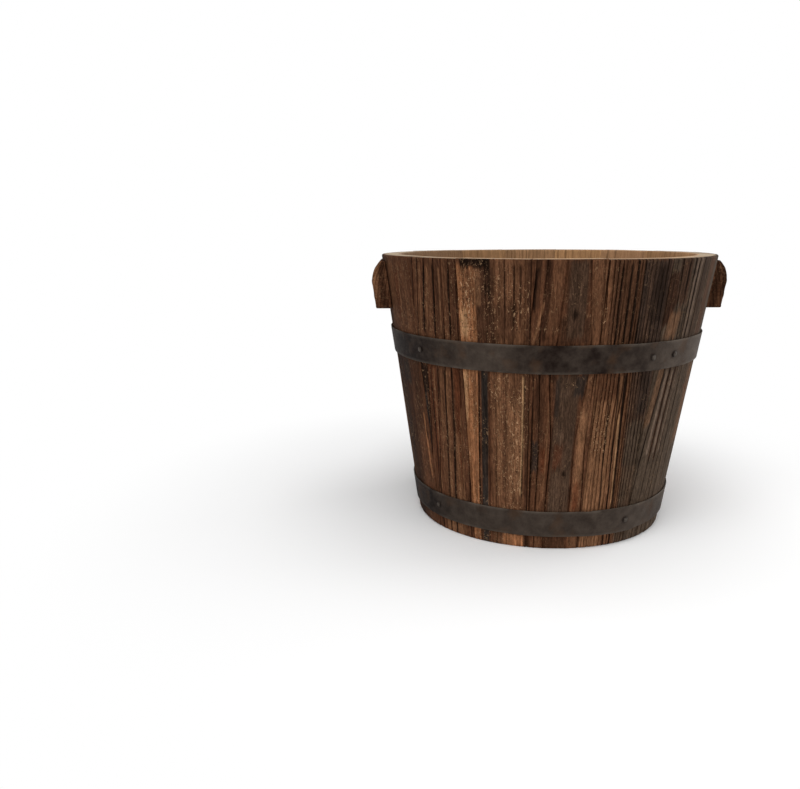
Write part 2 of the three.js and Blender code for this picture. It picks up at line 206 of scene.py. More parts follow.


# %% [markdown]
# ## The staves at the front
# These seven were described from the photograph: how their lines run, which tone lies where, and
# where the brush or a knock has bared the wood.

# %% Staves 16, 1 and 2
BOARDS = {
    16: Board("brown", 0.2, 0.35, (-83, -83, -83, -84, -84, -85), [], [
        (-79, -79, -79, -80, -81, -81), (-76, -75, -76, -77, -77, -78), (-72, -71, -72, -73, -73, -74),
        (-68, -67, -68, -69, -70, -70), (-64, -63, -64, -65, -65, -66), (-60, -60, -60, -61, -62, -62),
        (-56, -56, -56, -57, -58, -58),
    ], [
        ("bark", 0.7, 4.5, [(307, -78.5), (226, -78.5)], 4),
        ("chestnut", 0.6, 3.2, [(300, -73.5), (234, -75)], 2),
        ("russet", 0.5, 1.6, [(290, -68), (240, -69)], 2),
        ("tan", 0.5, 0.5, [(298, -66), (232, -67.5)], 0.8),
        ("chestnut", 0.5, 1.6, [(300, -61.5), (226, -62)], 1.5),
        # From the upper hoop down, the soot, umber, bark and slate strokes are painted shadow: they darken
        # the lower left of this stave as a shadow falling on it would.
        ("soot", 0.8, 5.0, [(200, -78), (0, -77.5)], 3),
        ("umber", 0.85, 3.0, [(200, -71.5), (0, -70.5)], 3),
        ("bark", 0.75, 4.5, [(200, -64), (110, -64)], 4),
        ("slate", 0.7, 3.0, [(193, -70.5), (166, -70)], 2),
        ("amber", 0.7, 0.5, [(135, -60.6), (60, -59.8)], 0.8),
        ("soot", 0.85, 0.4, [(122, -59.9), (106, -59.7)], 0.6),
        ("scar", 0.5, 4.0, [(290, -66), (230, -66)], 5),
    ]),
    1: Board("brown", 1.0, 0.35, (-59.5, -61.5, -62, -63.5, -66, -68), [], [
        (-55.6, -58.8, -59.5, -61.0, -63.0, -64), (-52.9, -56.9, -57.4, -58.6, -60.6, -62),
        (-49.6, -53.3, -53.9, -55.8, -59.0, -60), (-45.5, -47.6, -48.2, -50.8, -53.8, -55),
        (-42.6, -43.6, -44.6, -46.6, -48.5, -50), (-39.6, -40.9, -41.9, -43.4, -44.9, -46),
        (-37.2, -37.9, -38.4, -39.3, -40.8, -41.6), (-34.0, -35.0, -35.4, -36.2, -37.6, -38.2),
    ], [
        ("chestnut", 0.6, 0.9, [(307, -54), (226, -56)], 0.8),
        ("chestnut", 0.6, 1.0, [(307, -47.4), (226, -50)], 0.8),
        ("bark", 0.7, 1.2, [(307, -44.6), (226, -45.6)], 0.8),
        ("chestnut", 0.65, 0.7, [(307, -41.6), (226, -42.4)], 0.8),
        ("bark", 0.5, 0.8, [(307, -38.5), (226, -39.5)], 0.8),
        ("russet", 0.6, 2.0, [(195, -51.6), (120, -52.6), (70, -54)], 2),
        ("russet", 0.7, 1.3, [(195, -39.7), (110, -40.8), (60, -42)], 1.5),
        ("chestnut", 0.7, 1.0, [(195, -46.2), (60, -49.2), (0, -50.4)], 0.8),
        ("chestnut", 0.75, 0.8, [(195, -43.2), (60, -46.6), (0, -47.6)], 0.8),
        ("tan", 0.6, 1.0, [(120, -41.8), (0, -43.8)], 2),
        ("tan", 0.75, 4.5, [(14, -48), (0, -48)], 1.5),
        ("soot", 0.95, 2.2, [(193, -56.2), (160, -57)], 1.5),
        ("slate", 0.85, 1.5, [(160, -57.4), (122, -57.9)], 1.5),
        ("soot", 0.85, 0.45, [(300, -50.2), (230, -53.3)], 0.6),
        ("soot", 0.8, 0.4, [(295, -40.2), (228, -41.1)], 0.5),
        ("soot", 0.8, 0.4, [(148, -55.9), (78, -58.6), (0, -60.5)], 0.6),
        ("soot", 0.8, 0.45, [(192, -41.9), (110, -43.3), (45, -45.6), (0, -46.6)], 0.6),
        ("soot", 0.6, 0.3, [(190, -48.4), (158, -49)], 0.5),
        ("tan", 0.7, 0.35, [(298, -48.9), (232, -51.7)], 0.6),
        ("tan", 0.5, 0.3, [(190, -47.2), (60, -51)], 0.6),
        ("tan", 0.7, 0.35, [(296, -44), (230, -45)], 0.6),
        ("tan", 0.65, 0.4, [(300, -52.2), (228, -55)], 0.6),
        ("soot", 0.8, 0.35, [(300, -46.3), (228, -48)], 0.5),
        ("tan", 0.75, 0.4, [(190, -50.9), (120, -51.6), (50, -53.6)], 0.6),
        ("soot", 0.8, 0.35, [(190, -52.4), (120, -53.2), (50, -55.2)], 0.5),
        ("tan", 0.7, 0.45, [(190, -44.6), (110, -46), (0, -48.8)], 0.6),
        ("soot", 0.75, 0.3, [(190, -45.4), (110, -47), (0, -49.9)], 0.5),
        ("tan", 0.7, 0.4, [(150, -39.2), (60, -40.8), (0, -41.8)], 0.6),
        ("scar", 0.8, 1.2, [(195, -57.2), (184, -57)], 1.5),
        ("scar", 0.7, 1.0, [(262, -52.6), (228, -53.6)], 1.5),
    ]),
    2: Board("brown", 0.6, 0.6, (-39.8, -40.8, -41.2, -42, -43, -44), [], [
        (-37.3, -38.6, -39.0, -39.6, -40.4, -41), (-34.9, -35.2, -35.0, -35.9, -36.4, -37),
        (-31.4, -31.5, -30.9, -32.0, -33.1, -33.6), (-27.4, -27.3, -27.0, -27.6, -28.4, -29),
        (-24.6, -25.2, -24.4, -25.0, -25.8, -26), (-21.4, -21.6, -21.4, -21.6, -21.8, -22),
        (-18.5, -18.6, -18.5, -18.7, -18.9, -19), (-15.2, -15.3, -15.2, -15.4, -15.9, -16),
        (-12.2, -12.4, -12.6, -13.0, -13.4, -14),
    ], [
        ("chestnut", 0.9, 6.2, down(-20.8, -20.8, -21.4), 1),
        ("bark", 0.85, 3.0, [(307, -28), (225, -27.8)], 1),
        ("bark", 0.6, 4.4, [(262, -22.5), (226, -22.5)], 2),
        ("brown", 0.9, 3.4, [(307, -34.2), (299, -34.2)], 1),
        ("amber", 0.85, 3.2, [(300, -34.2), (225, -34.4), (195, -34.6), (60, -36.2), (0, -36.4)], 0.8),
        ("chestnut", 0.6, 2.6, [(298, -33.6), (262, -33.6)], 4),
        ("brown", 0.6, 0.35, [(298, -33.0), (226, -33.2)], 0.6),
        ("straw", 0.6, 1.3, [(256, -35.4), (230, -35.4)], 1.5),
        ("straw", 0.5, 0.8, [(192, -36.2), (140, -36.8)], 1.2),
        ("chestnut", 0.55, 0.6, [(226, -33), (195, -32.8), (60, -34.4), (0, -34.8)], 0.6),
        ("straw", 0.6, 0.35, [(190, -37.3), (60, -38.9)], 0.6),
        ("tan", 0.6, 0.9, [(297, -30.2), (262, -30.2)], 1),
        ("soot", 0.97, 4.8, [(340, -31), (299, -31)], 1),
        ("soot", 0.9, 0.3, [(192, -31.0), (60, -32.9), (0, -33.3)], 0.5),
        ("slate", 0.95, 1.25, [(195, -29.0), (120, -29.8), (0, -31.2)], 0.8),
        ("soot", 0.5, 0.4, [(170, -28.8), (80, -29.6)], 0.8),
        ("soot", 0.75, 0.9, [(307, -26.8), (272, -27)], 1.5),
        ("umber", 0.8, 0.3, [(300, -21.3), (240, -21.6)], 0.6),
        ("umber", 0.8, 0.3, [(300, -18.6), (240, -18.8)], 0.6),
        ("umber", 0.8, 0.3, [(300, -16.7), (240, -16.8)], 0.6),
        ("tan", 0.6, 2.4, [(165, -18.6), (60, -18.8)], 2),
        ("tan", 0.5, 1.0, [(192, -24), (60, -24.6)], 1.5),
        ("straw", 0.9, 0.32, [(190, -15.6), (112, -15.7), (62, -16.4)], 0.5),
        ("soot", 0.7, 0.25, [(190, -15.0), (60, -15.8)], 0.5),
        ("bark", 0.7, 0.6, down(-14.3, -14.3), 0.8),
        ("amber", 0.8, 4.2, [(14, -19.4), (0, -19.4)], 1),
        ("scar", 1.0, 3.0, [(292, -34.4), (228, -34.6)], 2),
        ("scar", 1.0, 1.0, [(282, -29.2), (262, -23.8)], 1),
        ("scar", 1.0, 4.6, [(241.5, -15.2), (238.5, -15.2)], 1),
        ("scar", 0.9, 1.2, [(300, -20.3), (290, -20)], 1),
        ("scar", 0.8, 0.7, [(268, -18), (240, -18)], 1),
        ("scar", 1.0, 2.2, [(170, -18.2), (66, -18)], 1.5),
        ("scar", 0.6, 2.4, [(190, -23.6), (60, -24)], 1.5),
        ("scar", 0.5, 2.2, [(190, -34.8), (130, -35.4)], 1.5),
    ]),
}

# %% Staves 3 to 6
BOARDS |= {
    3: Board("brown", 1.0, 0.2, (0.2, 0.1, -0.7, -1.3, -1.8, -2.0), [
        (-3.3, -5.2, -7.3, -5.7, -6.5, -7.0), (-8.9, -11.2, -10.6, -9.9, -10.4, -10.8),
        (-11.9, -14.3, -12.6, -12.3, -12.9, -13.2), (-15, -17, -15.6, -15.4, -15.8, -16),
    ], [
        (3.3, 5.6, 5.9, 2.9, 3.0, 3.0), (7.4, 8.4, 7.8, 7.0, 7.8, 8.0), (9.2, 10.2, 9.6, 8.9, 9.4, 9.6),
    ], [
        ("bark", 0.95, 3.4, [(307, 0), (250, 0.2)], 0.8),
        ("umber", 0.7, 4.6, [(240, 0.3), (225, 0)], 2),
        ("bark", 0.9, 4.6, [(252, 0.2), (226, 0)], 1),
        ("bark", 0.95, 6.4, [(195, -0.7), (186, -0.7)], 1),
        ("bark", 0.95, 5.0, [(188, -0.7), (166, -0.8)], 1),
        ("bark", 0.8, 4.3, [(168, -1.1), (120, -1.6), (60, -1.6), (0, -2)], 1),
        ("ash", 0.5, 3.8, [(193, -0.7), (120, -1.4), (60, -1.6), (30, -1.8)], 1.5),
        ("ash", 0.35, 2.6, [(305, 0), (232, 0.2)], 1.5),
        ("slate", 0.8, 1.8, [(194, 3.8), (172, 2.8)], 1.5),
        ("slate", 0.6, 0.7, [(190, -4.6), (150, -4.4)], 1.5),
        ("russet", 0.6, 1.5, [(118, -2.8), (94, -3.2)], 2.5),
        ("umber", 0.85, 1.2, [(307, -8.6), (262, -8.8), (226, -10.4)], 1.5),
        ("bark", 0.75, 0.9, [(307, -11.4), (262, -12.2)], 1),
        ("soot", 0.8, 0.35, [(298, -12.0), (258, -12.8)], 0.6),
        ("tan", 0.9, 0.4, [(266, -9.8), (240, -11.5), (226, -12.8)], 0.7),
        ("chestnut", 0.5, 1.5, [(307, -5.6), (236, -7.4)], 1),
        ("bark", 0.7, 1.5, [(195, -10.2), (125, -9.8)], 1.5),
        ("soot", 0.7, 0.25, [(192, -12.2), (60, -12.8)], 0.5),
        ("slate", 0.85, 1.1, [(122, -11.2), (90, -11.2)], 1.5),
        ("russet", 0.75, 1.2, [(114, -8.0), (84, -8.0)], 2),
        ("chestnut", 0.5, 1.4, [(90, -9), (0, -9.6)], 1.5),
        ("tan", 0.55, 0.3, [(165, -6.6), (60, -7.6)], 0.6),
        ("chestnut", 0.9, 2.1, [(307, 5.8), (195, 7.6), (150, 6), (120, 5.4), (0, 5.6)], 0.8),
        ("tan", 0.7, 1.3, [(155, 5.3), (60, 5.2)], 1.5),
        ("russet", 0.75, 1.3, [(78, 5), (46, 5)], 2),
        ("soot", 1.0, 0.75, [(90.5, -0.3), (85, -0.2)], 1),
        ("soot", 0.75, 1.0, [(257, 0), (251.5, 0)], 1.4),
        ("scar", 0.9, 2.2, [(185, 0.4), (182, 0.6)], 1),
        ("scar", 0.8, 1.4, [(189, 4.2), (186, 4.4)], 1),
        ("scar", 0.8, 0.8, [(256, 8.4), (246, 8.2)], 1),
        ("scar", 0.6, 5.0, [(241.5, -9.4), (238.5, -9.4)], 1),
    ]),
    4: Board("chestnut", 1.0, 0.15, (6.2, 6.4, 6.6, 6.4, 6.8, 7.0), [], [
        (7.6, 7.8, 8.0, 7.9, 8.4, 8.6), (8.8, 9.4, 9.6, 9.1, 9.5, 9.8),
        (10.5, 10.8, 11.2, 10.7, 10.8, 11.0), (11.7, 12.1, 12.4, 12.0, 12.1, 12.4),
        (13.0, 13.3, 13.7, 13.4, 13.8, 14.2),
        (14.2, 14.7, 15.0, 14.7, 15.5, 16.0), (15.8, 16.3, 16.6, 16.6, 17.4, 18.0),
        (17.8, 18.5, 18.8, 18.2, 19.1, 20.0), (19.2, 19.7, 20.0, 20.5, 21.2, 22.0),
        (20.4, 20.8, 21.0, 22.0, 22.8, 23.6), (21.5, 21.8, 22.0, 23.0, 23.8, 24.4),
        (22.6, 22.8, 23.0, 24.1, 24.8, 25.2), (24.2, 24.2, 24.4, 25.4, 26.0, 26.4),
        (25.7, 25.9, 25.8, 27.0, 27.4, 27.8), (27.3, 27.5, 27.3, 28.6, 29.0, 29.4),
        (29.0, 29.2, 29.0, 30.2, 30.6, 31.0), (31.0, 31.0, 31.0, 32.0, 32.5, 33.0),
    ], [
        ("bark", 0.7, 5.0, [(307, 15), (226, 15.5)], 2),
        ("slate", 0.8, 5.8, [(307, 25.8), (205, 26.2)], 1.5),
        ("soot", 0.5, 3.0, [(300, 27.5), (246, 27)], 4),
        ("brown", 0.7, 4.5, [(200, 13), (165, 13)], 5),
        ("slate", 0.65, 4.8, [(200, 26), (120, 27), (92, 27.8)], 2),
        ("slate", 0.6, 2.4, [(196, 28), (150, 28)], 2.5),
        ("ash", 0.85, 4.6, [(140, 27.6), (0, 29.4)], 2.5),
        ("tan", 0.85, 5.2, [(165, 11.8), (100, 12.0), (0, 13.0)], 2),
        ("straw", 0.5, 0.3, [(150, 18.7), (80, 20.2), (46, 21.0)], 0.6),
        ("tan", 0.7, 0.5, [(190, 17.6), (60, 18.6)], 0.8),
        ("soot", 0.85, 0.35, [(300, 13.1), (226, 13.4)], 0.5),
        ("soot", 0.85, 0.35, [(303, 15.7), (226, 16.2)], 0.5),
        ("soot", 0.9, 0.45, [(307, 17.9), (226, 18.5)], 0.5),
        ("soot", 0.85, 0.35, [(307, 20.35), (226, 20.7)], 0.5),
        ("soot", 0.85, 0.32, [(165, 13.8), (92, 14.9), (45, 16)], 0.5),
        ("soot", 0.85, 0.32, [(192, 16.7), (110, 18.0), (45, 19.2), (0, 20)], 0.5),
        ("soot", 0.9, 0.5, [(195, 19.0), (150, 19.6), (110, 20.5), (45, 21.8), (0, 23)], 0.5),
        ("scar", 0.9, 0.9, [(262, 8.8), (242, 8.6)], 1),
        ("scar", 0.6, 3.4, [(150, 12), (110, 12)], 2),
        ("scar", 0.9, 0.3, [(168, 27.8), (164, 27.8)], 1),
    ]),
    5: Board("ash", 0.9, 0.15, (29, 29, 29, 27, 25, 24), [], [
        (32.8, 33.0, 33.2, 31.0, 29.6, 29.0), (35.6, 36.8, 36.9, 33.6, 31.6, 31.0),
        (39.2, 39.8, 40.1, 38.5, 37.2, 36.5), (42.2, 42.6, 43.2, 42.0, 41.0, 40.0),
        (44.8, 44.8, 45.4, 44.6, 44.0, 43.5), (48.6, 48.2, 48.4, 48.0, 47.6, 47.4),
        (54.0, 54.0, 54.0, 54.0, 54.0, 54.0),
    ], [
        ("umber", 0.9, 2.6, [(292, 32.2), (262, 33), (240, 31.2)], 2),
        ("bark", 0.8, 3.0, [(307, 37.5), (262, 38)], 3),
        ("tan", 0.5, 3.0, [(252, 36.8), (226, 35)], 2),
        ("ash", 0.7, 3.0, [(196, 32.4), (130, 31)], 2),
        ("fawn", 0.8, 0.5, [(307, 43.6), (226, 43.6)], 0.7),
        ("fawn", 0.8, 0.6, [(307, 46), (226, 46)], 0.8),
        ("soot", 0.85, 0.45, [(305, 35.2), (282, 35.4)], 0.8),
        ("soot", 0.8, 0.4, [(302, 38.8), (270, 39)], 0.6),
        ("soot", 0.85, 0.5, [(305, 42.2), (284, 42.4)], 0.7),
        ("soot", 0.85, 0.35, [(300, 44.5), (228, 44.8)], 0.5),
        ("soot", 0.75, 0.3, [(256, 41.1), (226, 41.4)], 0.5),
        ("soot", 0.8, 0.4, [(190, 36.9), (150, 34.8), (110, 33), (86, 31.8)], 0.7),
        ("umber", 0.9, 0.65, [(195, 40), (160, 39.1), (128, 38.3), (92, 37.6)], 0.7),
        ("umber", 0.9, 0.5, [(195, 43.5), (160, 42.5), (128, 41.8), (92, 41.3)], 0.6),
        ("fawn", 0.9, 0.6, [(190, 38.2), (150, 37), (100, 35.6)], 0.7),
        ("fawn", 0.9, 0.6, [(190, 41.8), (150, 40.7), (100, 39.8)], 0.7),
        ("fawn", 0.8, 0.5, [(190, 45.2), (150, 44.4), (100, 43.6)], 0.7),
        ("tan", 0.4, 1.4, [(195, 35.0), (135, 32.4)], 1.5),
        ("ash", 0.6, 9.0, [(88, 40), (0, 40)], 3),
        ("umber", 0.5, 2.4, [(307, 50.0), (226, 50)], 3),
        ("ash", 0.5, 2.5, [(196, 49), (90, 49)], 4),
    ]),
    6: Board("ash", 0.35, 0.1, (50, 50, 50, 50, 49, 49), [], [
        (55, 55, 55, 54, 54, 53), (59, 58, 59, 58, 57, 57), (63, 62, 63, 62, 62, 61),
        (67, 67, 67, 66, 66, 65),
        (71, 71, 71, 70, 70, 69), (75, 75, 75, 75, 74, 74), (79, 79, 79, 79, 79, 79),
    ], [
        ("brown", 0.6, 3.0, [(307, 57), (226, 57)], 3),
        ("tan", 0.4, 5.0, [(190, 61), (105, 61)], 5),
        ("russet", 0.6, 1.2, [(168, 55), (162, 60)], 1.5),
        ("ash", 0.8, 9.0, [(88, 64), (0, 64)], 5),
        ("umber", 0.6, 2.0, [(307, 70), (200, 70)], 3),
    ]),
}
print("described boards:", sorted(BOARDS))

# %% [markdown]
# ## The staves that the photograph doesn't show
# The other nine come from the same vocabulary: a seeded generator picks the cut, the lean, a body
# tone and strokes that run along the grain, so that the back is as busy as the front.

# %% Staves 7 to 15
IMAGINED_BODIES = ["brown", "chestnut", "brown", "ash"]
IMAGINED_STROKES = [
    "umber", "bark", "chestnut", "russet", "tan", "slate", "amber", "bark", "tan", "soot", "scar",
]
LEAN_SHARES = np.array([1, 0.45, 0.3, -0.2, -0.6, -1])  # how a leaning line lies at each level
BULGE = np.array([0, 1.6, 2.6, 1.0, 0.6, 0.8])  # degrees that lines open round a flat-sawn heart
FLAT_GAP = 3.2  # degrees between the lines of a flat-sawn board
PAST_EDGE = 2  # degrees from a stave's edge to a heart that lies in the next board of the log


def ladder(chance, start, end, gap, sway, middle):
    """Lines from start to past end, unevenly spaced. The further from the middle, the more they lean."""
    places, at_rim = [], start
    while abs(at_rim - start) < abs(end - start) + 3:
        at_rim += math.copysign(gap * chance.uniform(0.6, 1.4), end - start)
        places.append(tuple(at_rim + sway * (1 + 0.05 * (at_rim - middle))))
    return places


def imagined_board(number, left, right):
    """Every third board is flat sawn, with an open heart. The others are rift sawn, fine or coarse."""
    chance = np.random.default_rng(100 + number)
    middle, half = (left + right) / 2, (right - left) / 2
    lean = chance.uniform(-3, 3)
    sway = LEAN_SHARES * lean / 2 + chance.uniform(-0.3, 0.3, len(LEVELS))

    if number % 3 == 0:
        bulge = BULGE * chance.uniform(0.6, 1.3)
        centre = middle + chance.uniform(-2, 2)
        waist = chance.uniform(2.4, 3.6)
        heart = tuple(centre + sway)
        leftward = ladder(chance, centre - waist, left, FLAT_GAP, sway, middle)
        rightward = ladder(chance, centre + waist, right, FLAT_GAP, sway, middle)
        to_left = [tuple(line - bulge) for line in leftward]
        to_right = [tuple(line + bulge) for line in rightward]
    else:
        gap = chance.uniform(1.1, 1.7) if number % 2 else chance.uniform(2.4, 3.4)
        heart = tuple(left - PAST_EDGE + sway)
        to_left = []
        to_right = ladder(chance, left - PAST_EDGE, right + PAST_EDGE, gap, sway, middle)

    strokes = []
    for tone in chance.permutation(IMAGINED_STROKES):
        low, high = sorted(chance.uniform(-60, 360, 2))
        if chance.random() < 0.5:
            low, high = 0, HEIGHT
        top = middle + chance.uniform(-half, half)
        path = [(high, top), (low, top - lean * (high - low) / HEIGHT)]
        strength, half_width = chance.uniform(0.45, 0.9), chance.uniform(0.4, 3)
        strokes.append((str(tone), strength, half_width, path, chance.uniform(0.4, 1.6)))
    body = str(chance.choice(IMAGINED_BODIES))
    lines, scars = chance.uniform(0.6, 1.0), chance.uniform(0.1, 0.45)
    return Board(body, lines, scars, heart, to_left, to_right, strokes)


for number in range(1, len(STAVE_WIDTHS) + 1):
    if number not in BOARDS:
        BOARDS[number] = imagined_board(number, joints[number - 1], joints[number])
print("all boards:", len(BOARDS))

# %% [markdown]
# ## Reading a board at any point
# Two things are asked of a board. The first is how many rings lie between a point and the heart, which
# gives both the relief and the dark lines. The second is the tone that the flame and the brush left.
# Strokes get ragged sides from noise that is fine across the grain and long along it, as fibres are.

# %% Rings
RING_TILT = 0.35  # how far a line moves sideways per millimetre into the board
LATE_WIDTH = 1.6  # millimetres of late wood that close a ring, less where rings are close
EARLY_PART = 0.55  # the part of a ring's count that its early wood takes
LEVEL_HEIGHTS = np.array(LEVELS[::-1], float)


def across_grain(number, azimuth, z):
    """Millimetres across a stave from its middle, which is the way that its grain runs."""
    middle = (joints[number - 1] + joints[number]) / 2
    return arc(signed(azimuth - middle), z)


def line_at(line, z):
    """Azimuth of a line at heights, eased so that it bends without corners."""
    line = np.array(line[::-1], float)
    near = [np.interp(z + shift, LEVEL_HEIGHTS, line) for shift in (-14, -7, 0, 7, 14)]
    return sum(near) / len(near)


def steps_outward(azimuth, lines, z, side, mm_per_degree):
    """How many of the lines lie between the first one and a point to that side of it."""
    count = np.zeros(azimuth.shape)
    places = [line_at(line, z) for line in lines]
    for i, (near, far) in enumerate(zip(places, places[1:])):
        most = np.inf if i == len(places) - 2 else 1
        spacing = np.maximum(side * (far - near), 0.25)
        gone = np.clip(side * (azimuth - near) / spacing, 0, most)
        late = np.minimum(LATE_WIDTH / (spacing * mm_per_degree), 0.42)
        part = gone - np.floor(gone)
        on_early = EARLY_PART * part / (1 - late)
        on_late = 1 - (1 - EARLY_PART) * (1 - part) / late
        count = count + np.floor(gone) + np.where(part < 1 - late, on_early, on_late)
    return count


def rings(number, azimuth, z, depth):
    """How many rings lie between the heart of a stave's board and a point."""
    board = BOARDS[number]
    mm_per_degree = arc(1, z)
    azimuth = azimuth + RING_TILT * depth / mm_per_degree
    wobble = 0.4 * (cloud(azimuth / 4, z / 60, number) - 0.5)
    azimuth = azimuth + wobble + 0.14 * (noise(azimuth, z / 7, number + 40) - 0.5)
    right = steps_outward(azimuth, [board.heart, *board.right], z, 1, mm_per_degree)
    if not board.left:
        return right + 1
    left = steps_outward(azimuth, [board.heart, *board.left], z, -1, mm_per_degree)
    return np.maximum(np.maximum(left, right), 0.05) + 1


def line_shade(count):
    """0 on the early wood, rising to 1 on the late wood that closes each ring."""
    part = count - np.floor(count)
    return fade(part, EARLY_PART, 0.85) * (1 - fade(part, 0.96, 1.0))


# %% Tone
FIBRE_WIDTH = 1.3
FIBRE_LENGTH = 45
FOOT_PAINTED_LIGHT = ([0, 60, 130, 200], [1.32, 1.2, 1.07, 1.0])  # heights, and gains: painted light, the wood made lighter towards the foot as if lit from the floor


def covered(stroke, seed, azimuth, z, across, fibre, drift):
    """How much of the surface a stroke covers at each point, 0 to its strength."""
    strength, half, path, soft = stroke[1:]
    heights, azimuths = (np.array(column, float) for column in zip(*sorted(path)))
    centre = np.interp(z, heights, azimuths)
    outside = arc(np.abs(azimuth - centre + 0.3 * drift) - half, z)
    low = heights[0] if heights[0] > 0 else -100
    high = heights[-1] if heights[-1] < HEIGHT else HEIGHT + 100
    beyond = np.maximum(low - z, z - high)
    ragged = (0.6 + 1.2 * soft) * fibre
    inside = (1 - fade(outside + ragged, -soft, soft)) * (1 - fade(beyond + 4 * ragged, -2, 2 + soft))
    thinned = 0.8 + 0.4 * cloud(across / 5, z / 45, seed)
    return np.clip(strength * inside * thinned, 0, 1)


def tone(number, azimuth, z):
    """Colour and scars at each point of a stave's outside."""
    board = BOARDS[number]
    across = across_grain(number, azimuth, z)
    fibre = cloud(across / FIBRE_WIDTH, z / FIBRE_LENGTH, number + 80) - 0.5
    drift = cloud(across / 12, z / 70, number + 90) - 0.5
    colour = np.ones(azimuth.shape + (3,)) * TONES[board.body]
    scars = board.scars * fade(cloud(across / 11, z / 34, number + 66), 0.38, 0.62)
    for i, stroke in enumerate(board.strokes):
        mask = covered(stroke, number * 40 + i, azimuth, z, across, fibre, drift)
        if stroke[0] == "scar":
            scars = np.maximum(scars, mask)
        else:
            colour = blend(mask, colour, TONES[stroke[0]])
    mottle = 1 + 0.5 * (cloud(across / 6, z / 16, number + 33) - 0.5) + 0.5 * fibre
    # Painted light: the wood is made lighter towards the foot, as light bounced off the floor would make it
    mottle = mottle * np.interp(z, *FOOT_PAINTED_LIGHT)
    return colour * mottle[..., None], scars


# %% [markdown]
# ## A mesh from points
# Every piece is made the same way: points in millimetres, faces by number, and per-point values that
# the materials read. A closed piece has no open edge, and that is counted and printed.

# %% Making a mesh and fixing it to the frame
MM = 0.001
SHARP_FROM = 26  # degrees between two faces that share a crisp edge
SQUARE = [(-1, -1), (1, -1), (1, 1), (-1, 1)]  # its corners, in turn


def new_mesh(name, points, faces):
    mesh = bpy.data.meshes.new(name)
    mesh.from_pydata((np.asarray(points) * MM).tolist(), [], faces)
    return mesh


def in_scene(name, data):
    thing = bpy.data.objects.new(name, data)
    bpy.context.scene.collection.objects.link(thing)
    return thing


def give_values(mesh, values):
    for key, data in values.items():
        kind, field = ("FLOAT", "value") if data.ndim == 1 else ("FLOAT_VECTOR", "vector")
        mesh.attributes.new(key, kind, "POINT").data.foreach_set(field, data.astype(np.float32).ravel())


def make_piece(name, points, faces, node, values=None, face_materials=None, materials=()):
    """One piece of the planter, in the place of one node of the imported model."""
    mesh = new_mesh(name, points, faces)
    give_values(mesh, values or {})
    for material in materials:
        mesh.materials.append(material)
    if face_materials is not None:
        mesh.polygons.foreach_set("material_index", face_materials)
    mesh.polygons.foreach_set("use_smooth", [True] * len(mesh.polygons))
    mesh.validate()
    piece = in_scene(name, mesh)
    shaped = bmesh.new()
    shaped.from_mesh(mesh)
    bmesh.ops.recalc_face_normals(shaped, faces=shaped.faces)
    open_edges = sum(not edge.is_manifold for edge in shaped.edges)
    shaped.to_mesh(mesh)
    shaped.free()
    mesh.set_sharp_from_angle(angle=math.radians(SHARP_FROM))
    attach(piece, "root")
    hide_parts(node)
    print(f"{name}: {len(mesh.polygons)} faces, {open_edges} open edges")
    return piece


def at(azimuth, radius, z):
    """Points in millimetres at azimuths, radii and heights."""
    azimuth, radius, z = np.broadcast_arrays(np.radians(azimuth), radius, z)
    return np.stack([radius * np.sin(azimuth), -radius * np.cos(azimuth), z], axis=-1)


def belts(rings, around):
    """The faces that join each ring of points to the next, with the same number of points in each."""
    faces = []
    for low in range(0, (rings - 1) * around, around):
        high = low + around
        for j in range(around):
            nxt = (j + 1) % around
            faces.append((low + j, low + nxt, high + nxt, high + j))
    return faces


# %% [markdown]
# ## Materials
# One small function adds a node with its settings and its links. The fir of the staves, the grips and
# the base then shares one recipe, because it is one wood in three states.
#
# Charred and brushed fir has no varnish: it is a rough dielectric (IOR 1.45, roughness about 0.7).
# Its fibres are about 0.04 mm wide, too fine for the picture, so the fibre noise is drawn about twenty
# times coarser, as bundles. Late-wood lines are 0.5 to 2 mm wide and are drawn at their real size.

# %% A node helper
def add(tree, kind, settings=None, links=None):
    """Adds a node. Settings are named after its properties or inputs; stops are for a colour ramp."""
    node = tree.nodes.new("ShaderNode" + kind)
    for key, value in (settings or {}).items():
        if key == "stops":
            for i, (place, colour) in enumerate(value):
                stop = node.color_ramp.elements[i] if i < 2 else node.color_ramp.elements.new(place)
                stop.position, stop.color = place, colour
        elif isinstance(key, str) and hasattr(node, key):
            setattr(node, key, value)
        else:
            node.inputs[key].default_value = value
    for key, source in (links or {}).items():
        tree.links.new(source.outputs[0] if hasattr(source, "outputs") else source, node.inputs[key])
    return node


def grey(value):
    return (value, value, value, 1.0)


def new_material(name):
    material = bpy.data.materials.new(name)
    material.use_nodes = True
    material.node_tree.nodes.clear()
    return material, material.node_tree


# %% The recipe for fir
LINE_STOPS = [(0.0, grey(1.0)), (0.03, grey(0.0)), (0.5, grey(0.04)), (0.66, grey(0.5)), (0.82, grey(1.0))]

# Noise that is stretched along the grain: its frequency per millimetre, detail, roughness and distortion
GRAIN_NOISE = {
    "fibre": ((1.1, 0.028, 1.1), 4.0, 0.7, 0.0),  # bundles 0.9 mm across and 35 mm long
    "fleck": ((0.8, 0.17, 0.8), 3.0, 0.7, 0.0),  # 1 by 6 mm
    "mottle": ((0.22, 0.05, 0.22), 4.0, 0.6, 0.0),  # about 5 mm wide
    "pit": ((0.5, 0.5, 0.5), 2.0, 0.7, 0.0),  # char left in small pits between the fibres
    "nick": ((0.42, 0.24, 0.42), 4.0, 0.75, 1.0),  # pale scratches that the brush and handling left
}
FIR_VALUES = {"grain": "Vector", "toast": "Vector", "ring": "Fac", "late": "Fac", "scars": "Fac"}
SCAR_LAYERS = [("pit", 0.57, 0.64, 0.75, "21150e"), ("nick", 0.575, 0.63, 0.9, "b08c6a")]


